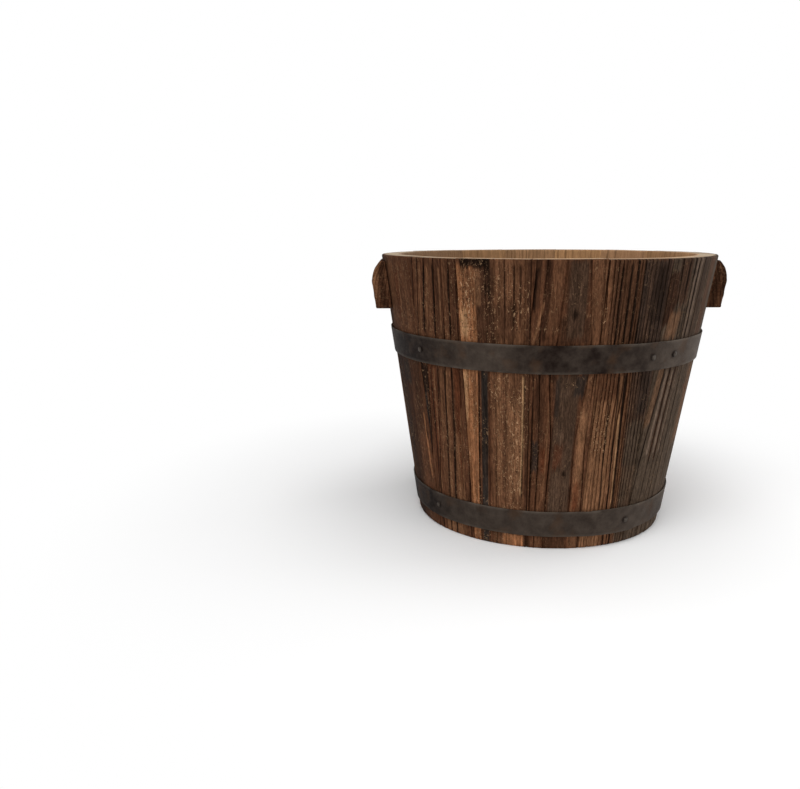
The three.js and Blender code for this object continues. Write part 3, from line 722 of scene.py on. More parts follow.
def fir(name, line_depth, fibre_depth, roughness, sheen, relief):
    """Fir in one state: how dark its lines are, how strong its fibres, and how deep its tooth in mm."""
    material, tree = new_material(name)
    read = {}
    for key, output in FIR_VALUES.items():
        read[key] = add(tree, "Attribute", {"attribute_name": key}).outputs[output]
    noises = {}
    for key, (stretch, detail, grit, distortion) in GRAIN_NOISE.items():
        along = add(tree, "VectorMath", {"operation": "MULTIPLY", 1: stretch}, {0: read["grain"]})
        noises[key] = add(tree, "TexNoise", {"Scale": 1.0, "Detail": detail, "Roughness": grit,
                                             "Distortion": distortion}, {"Vector": along})

    # Growth lines: dark where each ring closes
    part = add(tree, "Math", {"operation": "FRACT"}, {0: read["ring"]})
    line = add(tree, "ValToRGB", {"stops": LINE_STOPS}, {"Fac": part})
    strength = add(tree, "Math", {"operation": "MULTIPLY"}, {0: line, 1: read["late"]})

    # The early wood, lighter and darker from bundle to bundle, from patch to patch and from fleck to fleck
    early = read["toast"]
    for key, low, high, swing in (
        ("fibre", 0.3, 0.7, fibre_depth),
        ("mottle", 0.3, 0.7, 0.14),
        ("fleck", 0.32, 0.68, 1.1 * fibre_depth),
    ):
        gain = add(tree, "MapRange", {"From Min": low, "From Max": high, "To Min": 1 - swing,
                                      "To Max": 1 + swing}, {"Value": noises[key]})
        early = add(tree, "VectorMath", {"operation": "SCALE"}, {0: early, "Scale": gain})
    stain = add(tree, "Math", {"operation": "MULTIPLY", 1: line_depth}, {0: strength})
    colour = add(tree, "Mix", {"data_type": "RGBA", "blend_type": "MULTIPLY", 7: rgba("6a5b50")},
                 {0: stain, 6: early})

    for key, start, end, most, tint in SCAR_LAYERS:
        mask = add(tree, "MapRange", {"From Min": start, "From Max": end, "To Max": most},
                   {"Value": noises[key]})
        mask = add(tree, "Math", {"operation": "MULTIPLY"}, {0: mask, 1: read["scars"]})
        colour = add(tree, "Mix", {"data_type": "RGBA", 7: rgba(tint)}, {0: mask, 6: colour.outputs[2]})

    # The brushed fibres catch light; the relief itself is in the mesh, and this is only its tooth
    tooth = add(tree, "Math", {"operation": "MULTIPLY_ADD", 1: 0.5}, {0: strength, 2: noises["fibre"]})
    bump = add(tree, "Bump", {"Strength": 0.8, "Distance": relief * MM}, {"Height": tooth})
    rough = add(tree, "MapRange", {"From Min": 0.3, "From Max": 0.7, "To Min": roughness - 0.08,
                                   "To Max": roughness + 0.08}, {"Value": noises["fibre"]})
    surface = add(tree, "BsdfPrincipled",
                  {"IOR": 1.45, "Specular IOR Level": sheen, "Specular Tint": rgba("c09a78")},
                  {"Base Color": colour.outputs[2], "Roughness": rough, "Normal": bump})
    add(tree, "OutputMaterial", {}, {"Surface": surface})
    return material


charred_fir = fir("charred_brushed_fir", line_depth=1.0, fibre_depth=0.4, roughness=0.75,
                  sheen=0.04, relief=0.35)
sanded_fir = fir("sanded_bare_fir", line_depth=0.5, fibre_depth=0.14, roughness=0.65,
                 sheen=0.3, relief=0.08)
sawn_fir_end = fir("sawn_fir_end_grain", line_depth=0.6, fibre_depth=0.12, roughness=0.75,
                   sheen=0.2, relief=0.12)
print("fir materials:", charred_fir.name, sanded_fir.name, sawn_fir_end.name)

# %% [markdown]
# ## A stave
# A stave is a long wedge: its sides point at the tub's axis, its faces follow the tub's round, and a
# groove crosses the inside near the foot. It could be a subdivided block pushed about by modifiers,
# but the relief follows the growth rings, so it is laid out here as rows of points from foot to rim.
# Each row runs round the stave: the outside, a side, the inside, the other side.
#
# The brush lowers the early wood by a few tenths of a millimetre and leaves the late wood standing,
# and the corners along the joints are worn round. All of it is cut inwards, so that the tub keeps
# its size. Two neighbours touch along the middle of the wall, so that no light shows between them.

# %% Rows of a stave
OUT_COLUMNS = 120
IN_COLUMNS = 30
SIDE_SHARES = [0.12, 0.5, 0.88]
SIDE_STEPS = len(SIDE_SHARES)
BRUSHED_DEPTH = 0.45
WAVE_DEPTH = 0.35  # of the slow waves in a brushed face
CORNER_WEAR = 1.1
CHIP_REACH = 2.2  # how much deeper than its ease the rim is chipped at most
CHIPS_FROM = 0.62  # the noise above which the rim is chipped
SANDED_DEPTH = 0.12
JOINT_TOUCH = 0.02

EASE_ROW = 0.5  # height of the row half way round the ease at the rim and at the foot
EASE_THERE = 0.45  # how much the corner is worn back at that row
INNER_EASE = [0.2, 0.7]  # the same at the rim's inner corner, for the last two rows

row_heights = np.concatenate([
    [0, EASE_ROW, EDGE_EASE], np.linspace(5, GROOVE_FLOOR, 5),
    np.linspace(GROOVE_FLOOR, GROOVE_ROOF, 4)[1:],
    np.linspace(GROOVE_ROOF, HEIGHT - EDGE_EASE, 112)[1:],
    [HEIGHT - EASE_ROW, HEIGHT],
])
ROWS = len(row_heights)
floor_row = int(np.argmin(np.abs(row_heights - GROOVE_FLOOR)))

inside_heights = row_heights.copy()
inside_radii = inner_radius(row_heights)
inside_heights[floor_row + 1] = GROOVE_FLOOR
inside_heights[floor_row + 2] = GROOVE_ROOF
inside_radii[floor_row + 1:floor_row + 3] = GROOVE_RADIUS
inside_radii[-2:] += INNER_EASE

end_wear = np.zeros(ROWS)
end_wear[[0, 1, -2, -1]] = [EDGE_EASE, EASE_THERE, EASE_THERE, EDGE_EASE]
print("rows of a stave:", ROWS, "of which the groove starts at", floor_row)


# %% The points of a stave's rows
def columns(left, right, radius, shares, gap=JOINT_GAP):
    """Azimuths across a stave at a radius, half a joint's gap inside each joint."""
    inset = math.degrees(1) * np.arcsin(gap / 2 / radius)
    return (left + inset) + (right - left - 2 * inset) * shares


def round_corner(distance, radius):
    """How deep a worn corner lies at a distance from it."""
    inside = np.clip(radius - distance, 0, radius)
    return radius - np.sqrt(np.maximum(radius ** 2 - inside ** 2, 0))


def stave_outside(number, left, right):
    """Azimuth, radius and height of the points outside, a row for each height."""
    z = row_heights[:, None]
    shares = np.linspace(0, 1, OUT_COLUMNS + 1)[None, :]
    azimuth = columns(left, right, outer_radius(z), shares)
    across = across_grain(number, azimuth, z)
    early = 1 - line_shade(rings(number, azimuth, z, 0 * azimuth)) * BOARDS[number].lines
    brushed = BRUSHED_DEPTH * early * (0.4 + 0.6 * cloud(across / 9, z / 60, number + 21))
    waves = WAVE_DEPTH * cloud(across / 30, z / 90, number + 5)
    edge = arc(np.minimum(azimuth - azimuth[:, :1], azimuth[:, -1:] - azimuth), z)
    worn = CORNER_WEAR * (0.5 + noise(z / 12, np.where(shares < 0.5, 0.0, 9.0), number + 50))
    above = np.clip(cloud(across / 6, z / 300, number + 70) - CHIPS_FROM, 0, 1)
    rim = end_wear[:, None] * (1 + CHIP_REACH * above / (1 - CHIPS_FROM))
    radius = outer_radius(z) - brushed - waves - round_corner(edge, worn) - rim
    return azimuth, radius, z + 0 * azimuth


def stave_grid(number, left, right):
    """Azimuth, radius and height of every point of a stave's rows, which run round it."""
    outside = stave_outside(number, left, right)
    in_az = columns(left, right, inside_radii[:, None], np.linspace(1, 0, IN_COLUMNS + 1)[None, :])
    in_z = inside_heights[:, None] + 0 * in_az
    in_r = inside_radii[:, None] + SANDED_DEPTH * cloud(in_az / 2, in_z / 90, number + 30)

    steps = np.array([SIDE_SHARES])
    closing = JOINT_TOUCH + (JOINT_GAP - JOINT_TOUCH) * abs(2 * steps - 1)
    gap = np.where(end_wear[:, None] > 0, JOINT_GAP, closing)
    sides = []
    for outer_end, inner_end, share in ((-1, 0, 1.0), (0, -1, 0.0)):
        radius = outside[1][:, [outer_end]] * (1 - steps) + in_r[:, [inner_end]] * steps
        height = outside[2][:, [outer_end]] * (1 - steps) + in_z[:, [inner_end]] * steps
        sides.append((columns(left, right, radius, share, gap), radius, height))
    parts = zip(outside, sides[0], (in_az, in_r, in_z), sides[1])
    return [
        np.hstack([out, right_side, inner, left_side[:, ::-1]])
        for out, right_side, inner, left_side in parts
    ]


# %% [markdown]
# The ends need care: 120 columns outside meet 30 inside. Three rows of points cross each end between
# the side points, and the last strip fans four outer columns into one inner one. The growth rings run
# on into the end, so the sawn end shows them as arcs.

# %% The faces of a stave
RING = (OUT_COLUMNS + 1) + SIDE_STEPS + (IN_COLUMNS + 1) + SIDE_STEPS
INSIDE_START = OUT_COLUMNS + 1 + SIDE_STEPS  # where a row's points inside the tub begin
CROSSING = OUT_COLUMNS - 1  # points of a row that crosses an end, beside the two it shares
OUTSIDE, INSIDE, END = 0, 1, 2  # the places of a stave's three materials

ring_kinds = [INSIDE if INSIDE_START <= j < INSIDE_START + IN_COLUMNS else OUTSIDE for j in range(RING)]
tube, tube_kinds = belts(ROWS, RING), ring_kinds * (ROWS - 1)
print("faces round a stave:", len(tube))


def end_faces(first, start):
    """The faces of one end: across three rows of points, then a fan of four outer columns to one inner."""
    rows = [list(range(first, first + OUT_COLUMNS + 1))]
    for step in range(SIDE_STEPS):
        middle = range(start + step * CROSSING, start + (step + 1) * CROSSING)
        rows.append([first + RING - 1 - step, *middle, first + OUT_COLUMNS + 1 + step])
    faces = []
    for near, far in zip(rows, rows[1:]):
        faces += [(near[j], near[j + 1], far[j + 1], far[j]) for j in range(OUT_COLUMNS)]
    fan = OUT_COLUMNS // IN_COLUMNS
    for j in range(IN_COLUMNS):
        inner = first + INSIDE_START + IN_COLUMNS - j
        faces.append((*rows[-1][fan * j:fan * j + fan + 1], inner - 1, inner))
    return faces


def end_points(number, row, azimuth, radius):
    """Rows of points across an end, sunk a little where the saw tore the fibres."""
    shares = np.linspace(0, 1, OUT_COLUMNS + 1)[1:-1]
    rows = []
    for step in range(SIDE_STEPS):
        left_side, right_side = RING - 1 - step, OUT_COLUMNS + 1 + step
        r = radius[row, left_side] * (1 - shares) + radius[row, right_side] * shares
        a = azimuth[row, left_side] * (1 - shares) + azimuth[row, right_side] * shares
        sink = TORN_DEPTH * cloud(a * 2, r / 4, number + 44)
        rows.append((a, r, row_heights[row] + (sink if row == 0 else -sink)))
    return rows


# %% Building the sixteen staves
TORN_DEPTH = 0.25
UNEVEN_RIM = 20  # how far down a stave takes up that it was sawn a little short
CHAR_DEPTH = 6  # how far into the wall a point still shows the outside's colours
SANDED = linear("836449"), linear("9b7652")  # the inside, from the darkest stave to the lightest
SAWN_ENDS = linear("9a8166"), linear("9c917f")  # fresh, and greyed


def chance_of(number, what, low, high):
    """A stave's own share of something, between low and high."""
    return low + (high - low) * float(lattice(np.array(number), np.array(what), 5))


def stave_solid(number, left, right):
    """Azimuths, radii and heights of a stave's points, and its faces with their kinds."""
    azimuth, radius, height = stave_grid(number, left, right)
    faces, kinds = list(tube), list(tube_kinds)
    parts = [(azimuth.ravel(), radius.ravel(), height.ravel())]
    for end, row in enumerate((0, ROWS - 1)):
        parts += end_points(number, row, azimuth, radius)
        caps = end_faces(row * RING, ROWS * RING + end * SIDE_STEPS * CROSSING)
        faces += caps
        kinds += [END] * len(caps)
    azimuth, radius, height = (np.concatenate(column) for column in zip(*parts))
    tilt = chance_of(number, 7, -0.4, 0.4) * (azimuth - left) / (right - left)
    short = chance_of(number, 8, 0.4, 0.9) + tilt
    return azimuth, radius, height - short * fade(height, HEIGHT - UNEVEN_RIM, HEIGHT), faces, kinds


def stave_look(number, azimuth, radius, height):
    """What the materials read at each point: the place in the grain, the ring, the tone and the scars."""
    depth = outer_radius(height) - radius
    across = across_grain(number, azimuth, height)
    late = 0.45 + 0.55 * fade(cloud(across / 16, height / 70, number + 11), 0.3, 0.62)
    burnt, scars = tone(number, azimuth, height)
    streaks = 0.8 + 0.4 * cloud(across / 9, height / 160, number + 60)
    # Painted shade on the inside: the sine of the azimuth darkens the inner wall on the -X side and lightens
    # it on the +X side.
    gain = (0.8 + 0.35 * noise(0, 0, number)) * (1 + 0.35 * np.sin(np.radians(azimuth))) * streaks
    bare_with_painted_shade = blend(chance_of(number, 9, 0, 1), *SANDED) * gain[:, None]
    toast = np.where(depth[:, None] < CHAR_DEPTH, burnt, bare_with_painted_shade)
    greyed = 0.6 * fade(abs(np.sin(np.radians(azimuth[ROWS * RING:]))), 0.6, 0.95)
    toast[ROWS * RING:] = blend(greyed, *SAWN_ENDS) * (0.85 + 0.3 * noise(3, 1, number))
    return {
        "grain": np.stack([across + 400 * number, height, depth], axis=-1),
        "ring": rings(number, azimuth, height, depth),
        "late": BOARDS[number].lines * late,
        "toast": toast,
        "scars": np.where(depth < CHAR_DEPTH, scars, 0.15),
    }


def build_stave(number):
    """One stave as a piece. Its azimuths stay near those that its board was told with."""
    left, right = joints[number - 1], joints[number]
    if left > 270:
        left, right = left - 360, right - 360
    azimuth, radius, height, faces, kinds = stave_solid(number, left, right)
    node = f"stave_{number:02d}"
    points, look = at(azimuth, radius, height), stave_look(number, azimuth, radius, height)
    return make_piece(f"{node}_wood", points, faces, node, look, kinds,
                      [charred_fir, sanded_fir, sawn_fir_end])


for number in range(1, len(STAVE_WIDTHS) + 1):
    build_stave(number)

# %% [markdown]
# ## Steel, and the lie of a hoop
# Each hoop is one strap of mild steel, bent round the tub, with its outer end lapped over its inner
# end and nailed through both. It has blackened and browned with age: an oxide film that is dark and
# fairly rough, mottled in patches of about 1 cm, and polished a little where it stands proud. Its grey
# and its darkness also carry painted light: a painted sheen on the right of the front, painted shade
# on the left and round each nail, and a painted highlight on each nail's crown.
#
# A flat ring with a bevel would be too true. The strap is laid out as rows of points round its
# section, so that it can wander by fractions of a millimetre, as hand-bent strap does. Both layers of
# the lap follow the same wander, so they never cut each other.

# %% Aged steel
STEEL_NOISE = {"patch": (0.075, 5.0, 0.62), "rust": (0.045, 3.0, 0.5), "grit": (0.55, 4.0, 0.7)}


def aged_steel(name, dark, light, roughness):
    """dark is the colour of its fresh brown oxide, and light of the grey that rubbing leaves, which is also
    used as painted sheen.
    """
    material, tree = new_material(name)
    place = add(tree, "TexCoord").outputs["Object"]
    millimetres = add(tree, "VectorMath", {"operation": "SCALE", "Scale": 1000.0}, {0: place})
    noises = {}
    for key, (scale, detail, grit) in STEEL_NOISE.items():
        noises[key] = add(tree, "TexNoise", {"Scale": scale, "Detail": detail, "Roughness": grit},
                          {"Vector": millimetres})
    rubbed_and_painted_light = add(tree, "Attribute", {"attribute_name": "rubbed_and_painted_light"}).outputs["Fac"]
    wear_and_painted_highlight = add(tree, "Attribute", {"attribute_name": "wear_and_painted_highlight"}).outputs["Fac"]
    spread = add(tree, "MapRange", {"From Min": 0.35, "From Max": 0.65, "To Min": -0.14, "To Max": 0.14},
                 {"Value": noises["patch"]})
    greyed = add(tree, "Math", {"operation": "ADD", "use_clamp": True}, {0: rubbed_and_painted_light, 1: spread})
    rust = add(tree, "MapRange", {"From Min": 0.54, "From Max": 0.7, "To Max": 0.4},
               {"Value": noises["rust"]})
    # The grey mixed in here also paints light where the values carry it: sheen, and shade round the nails
    # and on the hoops' left. The pale wear tint also paints a highlight on the nail crowns.
    colour = add(tree, "Mix", {"data_type": "RGBA", 6: rgba(dark), 7: rgba(light)}, {0: greyed})
    for mask, tint in ((rust, "46301f"), (wear_and_painted_highlight, "7a7166")):
        colour = add(tree, "Mix", {"data_type": "RGBA", 7: rgba(tint)}, {0: mask, 6: colour.outputs[2]})
    rough = add(tree, "MapRange", {"From Min": 0.3, "From Max": 0.7, "To Min": roughness - 0.1,
                                   "To Max": roughness + 0.1}, {"Value": noises["grit"]})
    bump = add(tree, "Bump", {"Strength": 0.55, "Distance": 0.25 * MM}, {"Height": noises["grit"]})
    surface = add(tree, "BsdfPrincipled",
                  {"Metallic": 0.3, "Specular IOR Level": 0.15, "Specular Tint": grey(0.4)},
                  {"Base Color": colour.outputs[2], "Roughness": rough, "Normal": bump})
    add(tree, "OutputMaterial", {}, {"Surface": surface})
    return material


strap_steel = aged_steel("blackened_strap_steel", "180f0b", "5b5047", 0.65)
nail_steel = aged_steel("hammered_nail_steel", "17110e", "4a423c", 0.5)
screw_steel = aged_steel("dull_zinc_screw", "6f6a62", "a39e94", 0.38)

# %% The lie of a strap
HOOP_WIDTH = 29
HOOP_THICKNESS = 1.3
LAP_LENGTH = 60
JOGGLE_LENGTH = 14
STRAP_EDGE = 0.4  # radius of the strap's long edges
STRAP_CORNER = 2.5  # radius of its cut corners
LAP_LIFT = HOOP_THICKNESS + CLEARANCE
HOOPS = {"upper_hoop": (195, 33.5), "lower_hoop": (15, 35)}  # lower edge, azimuth of the outer end
LAP_NAIL_INSET = 17
HOOP_NAILS = [-56, 117, 204]

# How far each strap is rubbed grey, by azimuth, with painted light: at the front, read from the photograph,
# the grey also paints a sheen on the right and the dark a shadow on the left; free behind
RUBBED_AND_PAINTED_LIGHT = {
    "upper_hoop": [
        (-90, 0), (-65, 0), (-52, 0.12), (-43, 0.25), (-34, 0.45), (-26, 0.45), (-9, 0.13), (6, 0.13),
        (25, 0.27), (38, 0.55), (48, 0.5), (58, 0.65), (90, 0.4), (140, 0.2), (190, 0.45), (230, 0.15),
        (270, 0),
    ],
    "lower_hoop": [
        (-90, 0), (-65, 0.04), (-52, 0.23), (-40, 0.42), (-20, 0.38), (3, 0.34), (25, 0.45), (38, 0.55),
        (58, 0.45), (110, 0.25), (160, 0.5), (215, 0.3), (270, 0),
    ],
}


def strap_section():
    """The strap's section as (height on its width, off the seat) points: up the outside, down the inside."""
    edge, low, high = STRAP_EDGE, STRAP_EDGE, HOOP_WIDTH - STRAP_EDGE
    bend = np.radians([0, 30, 60, 90])
    outside = [(up, HOOP_THICKNESS) for up in np.linspace(low, high, 11)]
    top_out = [(high + edge * math.sin(b), HOOP_THICKNESS - edge + edge * math.cos(b)) for b in bend[1:]]
    top_in = [(high + edge * math.cos(b), edge - edge * math.sin(b)) for b in bend]
    bottom = [(HOOP_WIDTH - up, off) for up, off in (top_out + top_in)[::-1]]
    inside = [(up, 0.0) for up in np.linspace(high, low, 5)[1:-1]]
    return np.array(outside + top_out + top_in + inside + bottom)


def hoop_seat(lower):
    """The radius of a strap's inner face half way up it."""
    return outer_radius(lower + HOOP_WIDTH / 2) + CLEARANCE / math.cos(TAPER)


def nail_places(name):
    """Azimuths of a hoop's nails, those at its lap first."""
    lower, lap_end = HOOPS[name]
    inset = math.degrees(LAP_NAIL_INSET / hoop_seat(lower))
    return ([lap_end - inset, lap_end + inset] if name == "upper_hoop" else [lap_end - inset]) + HOOP_NAILS


def strap_lift(azimuth, lower, lap_end):
    """How far the strap has stepped out over its inner end, at an azimuth along it."""
    seat = hoop_seat(lower)
    start = lap_end - math.degrees(LAP_LENGTH / seat)
    return LAP_LIFT * fade(azimuth, start - math.degrees(JOGGLE_LENGTH / seat), start)


def wander(azimuth, height):
    """A slow in-and-out of the strap that closes on itself, from -0.15 to 0.15 mm."""
    a = np.radians(azimuth)
    slow = 0.07 * np.sin(7 * a + height / 13) + 0.05 * np.sin(17 * a - height / 9 + 2)
    return slow + 0.03 * np.sin(31 * a + height / 5)


# %% Building the hoops
def strap_route(lap_end, seat):
    """Azimuths along a strap from its inner end to its outer end, close together at its cut corners."""
    inner_end = lap_end - math.degrees(LAP_LENGTH / seat) - 360
    near = np.degrees(np.array([0, 0.15, 0.6, 1.4, STRAP_CORNER]) / seat)
    between = np.linspace(inner_end + 1.5, lap_end - 1.5, 400)
    return np.concatenate([inner_end + near, between, lap_end - near[::-1]])


def build_hoop(name):
    lower, lap_end = HOOPS[name]
    seat, half = hoop_seat(lower), HOOP_WIDTH / 2
    route, section = strap_route(lap_end, seat), strap_section()
    from_end = np.radians(np.minimum(route - route[0], lap_end - route)) * seat
    narrowed = 1 - round_corner(from_end, STRAP_CORNER) / half
    up = (section[:, 0] - half) * narrowed[:, None] + half
    sway = 0.25 * np.sin(3 * np.radians(route) + lower) + 0.15 * np.sin(8 * np.radians(route))
    height = lower + up + sway[:, None]
    azimuth = route[:, None] + 0 * height
    lift = strap_lift(azimuth, lower, lap_end)
    radius = seat + lift + section[:, 1] + SLOPE * (height - lower - half) + wander(azimuth, height)
    count, last = len(section), (len(route) - 1) * len(section)
    caps = [tuple(range(count)), tuple(range(last, last + count))[::-1]]

    edge_up = np.minimum(up, HOOP_WIDTH - up)
    wear_and_painted_highlight = 0.25 * (1 - fade(edge_up, 0.1, 0.9)) * fade(cloud(azimuth / 6, height / 20, 5), 0.35, 0.6)
    rubbed_and_painted_light = np.interp((azimuth + 90) % 360 - 90, *zip(*RUBBED_AND_PAINTED_LIGHT[name]))
    rubbed_and_painted_light = rubbed_and_painted_light + 0.12 * (cloud(azimuth / 9, height / 12, 4) - 0.5)
    # Painted shade: round each nail the strap is made darker, as if shaded by the head.
    for nail in nail_places(name):
        sideways = signed(azimuth - nail) * math.pi / 180 * seat
        rubbed_and_painted_light = rubbed_and_painted_light * (0.25 + 0.75 * fade(np.hypot(sideways, up - half), 2.5, 6))
    points = at(azimuth, radius, height).reshape(-1, 3)
    return make_piece(f"{name}_strap", points, belts(len(route), count) + caps, name,
                      {"wear_and_painted_highlight": wear_and_painted_highlight.ravel(), "rubbed_and_painted_light": rubbed_and_painted_light.ravel()}, materials=[strap_steel])


for name in HOOPS:
    build_hoop(name)

# %% [markdown]
# ## Nails and screws
# The nails are cut from wire and their heads were hammered down, so no two domes are alike. They are
# turned from a profile and then dented. The screws have a pan head with a cross recess, which is cut
# with a boolean because a sharp-walled slot is what that tool makes best.

# %% Turned fasteners
NAIL_RADIUS = 1.2
NAIL_HEAD_RADIUS = 3
NAIL_HEAD_HEIGHT = 1.8
NAIL_BITE = WALL - GROOVE_DEPTH - 3
SCREW_RADIUS = 2
SCREW_HEAD_RADIUS = 4
SCREW_HEAD_HEIGHT = 2.4
SCREW_BITE = 9
SCREW_SPACING = 30
SCREW_HEIGHT = 273.5
TURN_STEPS = 28
RECESS_LENGTH, RECESS_WIDTH, RECESS_FLOOR = 2.2, 0.5, 0.9


def lathe(profile, dents=0.0, seed=0):
    """Points and faces of a profile of (radius, height) turned round Z. It starts and ends on the axis."""
    angle = np.linspace(0, 2 * math.pi, TURN_STEPS, endpoint=False)
    cos, sin = np.cos(angle), np.sin(angle)
    middle = np.array(profile[1:-1], float)
    uneven = 1 + dents * (noise(3 + 1.6 * cos, 3 + 1.6 * sin, seed) - 0.5)
    radius = middle[:, :1] * uneven[None, :]
    sunk = dents * middle[:, 1:] * (noise(middle[:, :1] + 2 * cos, 2 * sin + 9, seed + 1) - 0.6)
    height = middle[:, 1:] + np.where(middle[:, 1:] > 0, sunk, 0)
    turned = np.stack([radius * cos, radius * sin, height + 0 * radius], axis=-1).reshape(-1, 3)
    points = np.vstack([turned, [0, 0, profile[0][1]], [0, 0, profile[-1][1]]])
    foot, top = len(turned), len(turned) - TURN_STEPS
    faces = belts(len(middle), TURN_STEPS)
    for j in range(TURN_STEPS):
        nxt = (j + 1) % TURN_STEPS
        faces += [(foot, nxt, j), (top + j, top + nxt, foot + 1)]
    return points, faces


def dome(radius, height, steps, fullness, base=0.0):
    """A head's rounded profile from its rim to its top. A fullness below 1 makes its sides steeper."""
    bend = np.radians(np.linspace(0, 90, steps))
    side = [(radius * math.cos(b) ** fullness, base + (height - base) * math.sin(b)) for b in bend[:-1]]
    return [*side, (0, height)]


def stood_on(points, azimuth, z, off, inwards=False):
    """Stands points that were made round Z square on the tub's face, off millimetres above it."""
    a = math.radians(azimuth)
    normal = Vector((math.sin(a) * math.cos(TAPER), -math.cos(a) * math.cos(TAPER), -math.sin(TAPER)))
    place = Vector(at(azimuth, outer_radius(z), z)) + normal * off
    turn = (-normal if inwards else normal).to_track_quat("Z", "Y").to_matrix()
    return np.array([place + turn @ Vector(p) for p in points])


def build_nail(name, hoop, azimuth, seed):
    """A nail, hammered down on its hoop. Where the strap is lapped it stands on the outer layer."""
    lower, lap_end = HOOPS[hoop]
    along = azimuth - 360 if azimuth > lap_end else azimuth
    rise = HOOP_THICKNESS + 2 * CLEARANCE + float(strap_lift(np.array(along), lower, lap_end))
    length = rise + NAIL_BITE
    shank = [(0, -length), (NAIL_RADIUS, 2 * NAIL_RADIUS - length), (NAIL_RADIUS, -0.05)]
    underside = (NAIL_HEAD_RADIUS * 0.93, 0)
    head = dome(NAIL_HEAD_RADIUS, NAIL_HEAD_HEIGHT, 7, 0.8, 0.25)
    points, faces = lathe([*shank, underside, *head], dents=0.28, seed=seed)
    # The crown of each head is made paler: partly polish from the hammer, partly a painted highlight.
    wear_and_painted_highlight = 0.22 * fade(points[:, 2], 1.1, 1.8)
    rubbed_and_painted_light = 0.1 + 0.35 * fade(points[:, 2], 0.5, 1.3)
    points = stood_on(points, azimuth, lower + HOOP_WIDTH / 2, rise)
    return make_piece(f"{name}_forged", points, faces, name,
                      {"wear_and_painted_highlight": wear_and_painted_highlight, "rubbed_and_painted_light": rubbed_and_painted_light}, materials=[nail_steel])


for hoop in HOOPS:
    for i, azimuth in enumerate(nail_places(hoop)):
        build_nail(f"{hoop}_nail_{i + 1}", hoop, azimuth, 10 * HOOPS[hoop][0] + i)


# %% Screws inside the tub
def cut(piece, points, faces):
    """Takes a convex cutter out of a piece."""
    mesh = new_mesh("cutter", points, faces)
    cutter = in_scene("cutter", mesh)
    boolean = piece.modifiers.new("cut", "BOOLEAN")
    boolean.object, boolean.operation, boolean.solver = cutter, "DIFFERENCE", "EXACT"
    result = bpy.data.meshes.new_from_object(piece.evaluated_get(bpy.context.evaluated_depsgraph_get()))
    piece.modifiers.clear()
    old, piece.data = piece.data, result
    result.name = old.name
    bpy.data.meshes.remove(old)
    bpy.data.objects.remove(cutter)
    bpy.data.meshes.remove(mesh)


def prism(outline, low, high):
    """Points and faces of an upright cutter with this outline."""
    count = len(outline)
    points = [(x, y, z) for z in (low, high) for x, y in outline]
    ends = [tuple(range(count))[::-1], tuple(range(count, 2 * count))]
    return points, ends + belts(2, count)


def build_screw(name, side, mirrored):
    azimuth = 90 + math.degrees(side / outer_radius(SCREW_HEIGHT)) + (180 if mirrored else 0)
    length = WALL + CLEARANCE + SCREW_BITE
    shank = [(0, -length), (SCREW_RADIUS, 2 * SCREW_RADIUS - length), (SCREW_RADIUS, 0)]
    points, faces = lathe(shank + dome(SCREW_HEAD_RADIUS, SCREW_HEAD_HEIGHT, 6, 0.7))
    off = -(WALL + CLEARANCE)
    stood = stood_on(points, azimuth, SCREW_HEIGHT, off, inwards=True)
    piece = make_piece(f"{name}_pan_head", stood, faces, name,
                       {"rubbed_and_painted_light": np.full(len(points), 0.5)}, materials=[screw_steel])
    for half_x, half_y in ((RECESS_LENGTH, RECESS_WIDTH), (RECESS_WIDTH, RECESS_LENGTH)):
        outline = [(half_x * x, half_y * y) for x, y in SQUARE]
        slot, slot_faces = prism(outline, RECESS_FLOOR, 2 * SCREW_HEAD_HEIGHT)
        cut(piece, stood_on(slot, azimuth, SCREW_HEIGHT, off, inwards=True), slot_faces)
    return piece


for grip, mirrored in (("right_grip", False), ("left_grip", True)):
    for i, side in enumerate((-SCREW_SPACING / 2, SCREW_SPACING / 2)):
        build_screw(f"{grip}_screw_{i + 1}", side, mirrored)

# %% [markdown]
# ## Blocks with worn edges
# The grips and the base boards are sawn blocks. A block is laid out as the skin of a lattice, and every
# point within a small radius of an edge is pulled on to the round of that edge. The skin is then bent
# to the piece's real shape. A bevel modifier would do the rounding as well, but the lattice also gives
# the even points that the saw marks and the brushed grain need.

# %% The skin of a lattice
def marks(length, count, radius):
    """Places along an edge: close together on the rounds at its ends, evenly spaced between."""
    first, last = [0, 0.35 * radius], [length - 0.35 * radius, length]
    return np.concatenate([first, np.linspace(radius, length - radius, count), last])


def rounded_skin(size, counts, radius):
    """Points and faces of a block with rounded edges, from 0 to its size on each axis."""
    axes = [marks(length, count, radius) for length, count in zip(size, counts)]
    grid = np.stack(np.meshgrid(*axes, indexing="ij"), axis=-1)
    sides = [(axis, end) for axis in range(3) for end in (0, -1)]
    sheets = [tuple(end if a == axis else slice(None) for a in range(3)) for axis, end in sides]
    skin = np.zeros(grid.shape[:3], bool)
    for sheet in sheets:
        skin[sheet] = True
    index = -np.ones(skin.shape, int)
    index[skin] = np.arange(skin.sum())
    points = grid[skin]
    core = np.clip(points, radius, np.array(size) - radius)
    out = points - core
    points = core + out / np.maximum(np.linalg.norm(out, axis=1, keepdims=True), 1e-9) * radius
    faces = []
    for sheet in sheets:
        i = index[sheet]
        faces += np.stack([i[:-1, :-1], i[1:, :-1], i[1:, 1:], i[:-1, 1:]], axis=-1).reshape(-1, 4).tolist()
    return points, faces


# %% [markdown]
# ## Grip blocks
# Each grip is a short length of the same burnt fir, scribed to the tub behind, level underneath, with
# its outer face parallel to the tub and a round shoulder. Its grain runs level, across the fingers, so
# its ends are end grain, and the rings show there as lines along the wall.

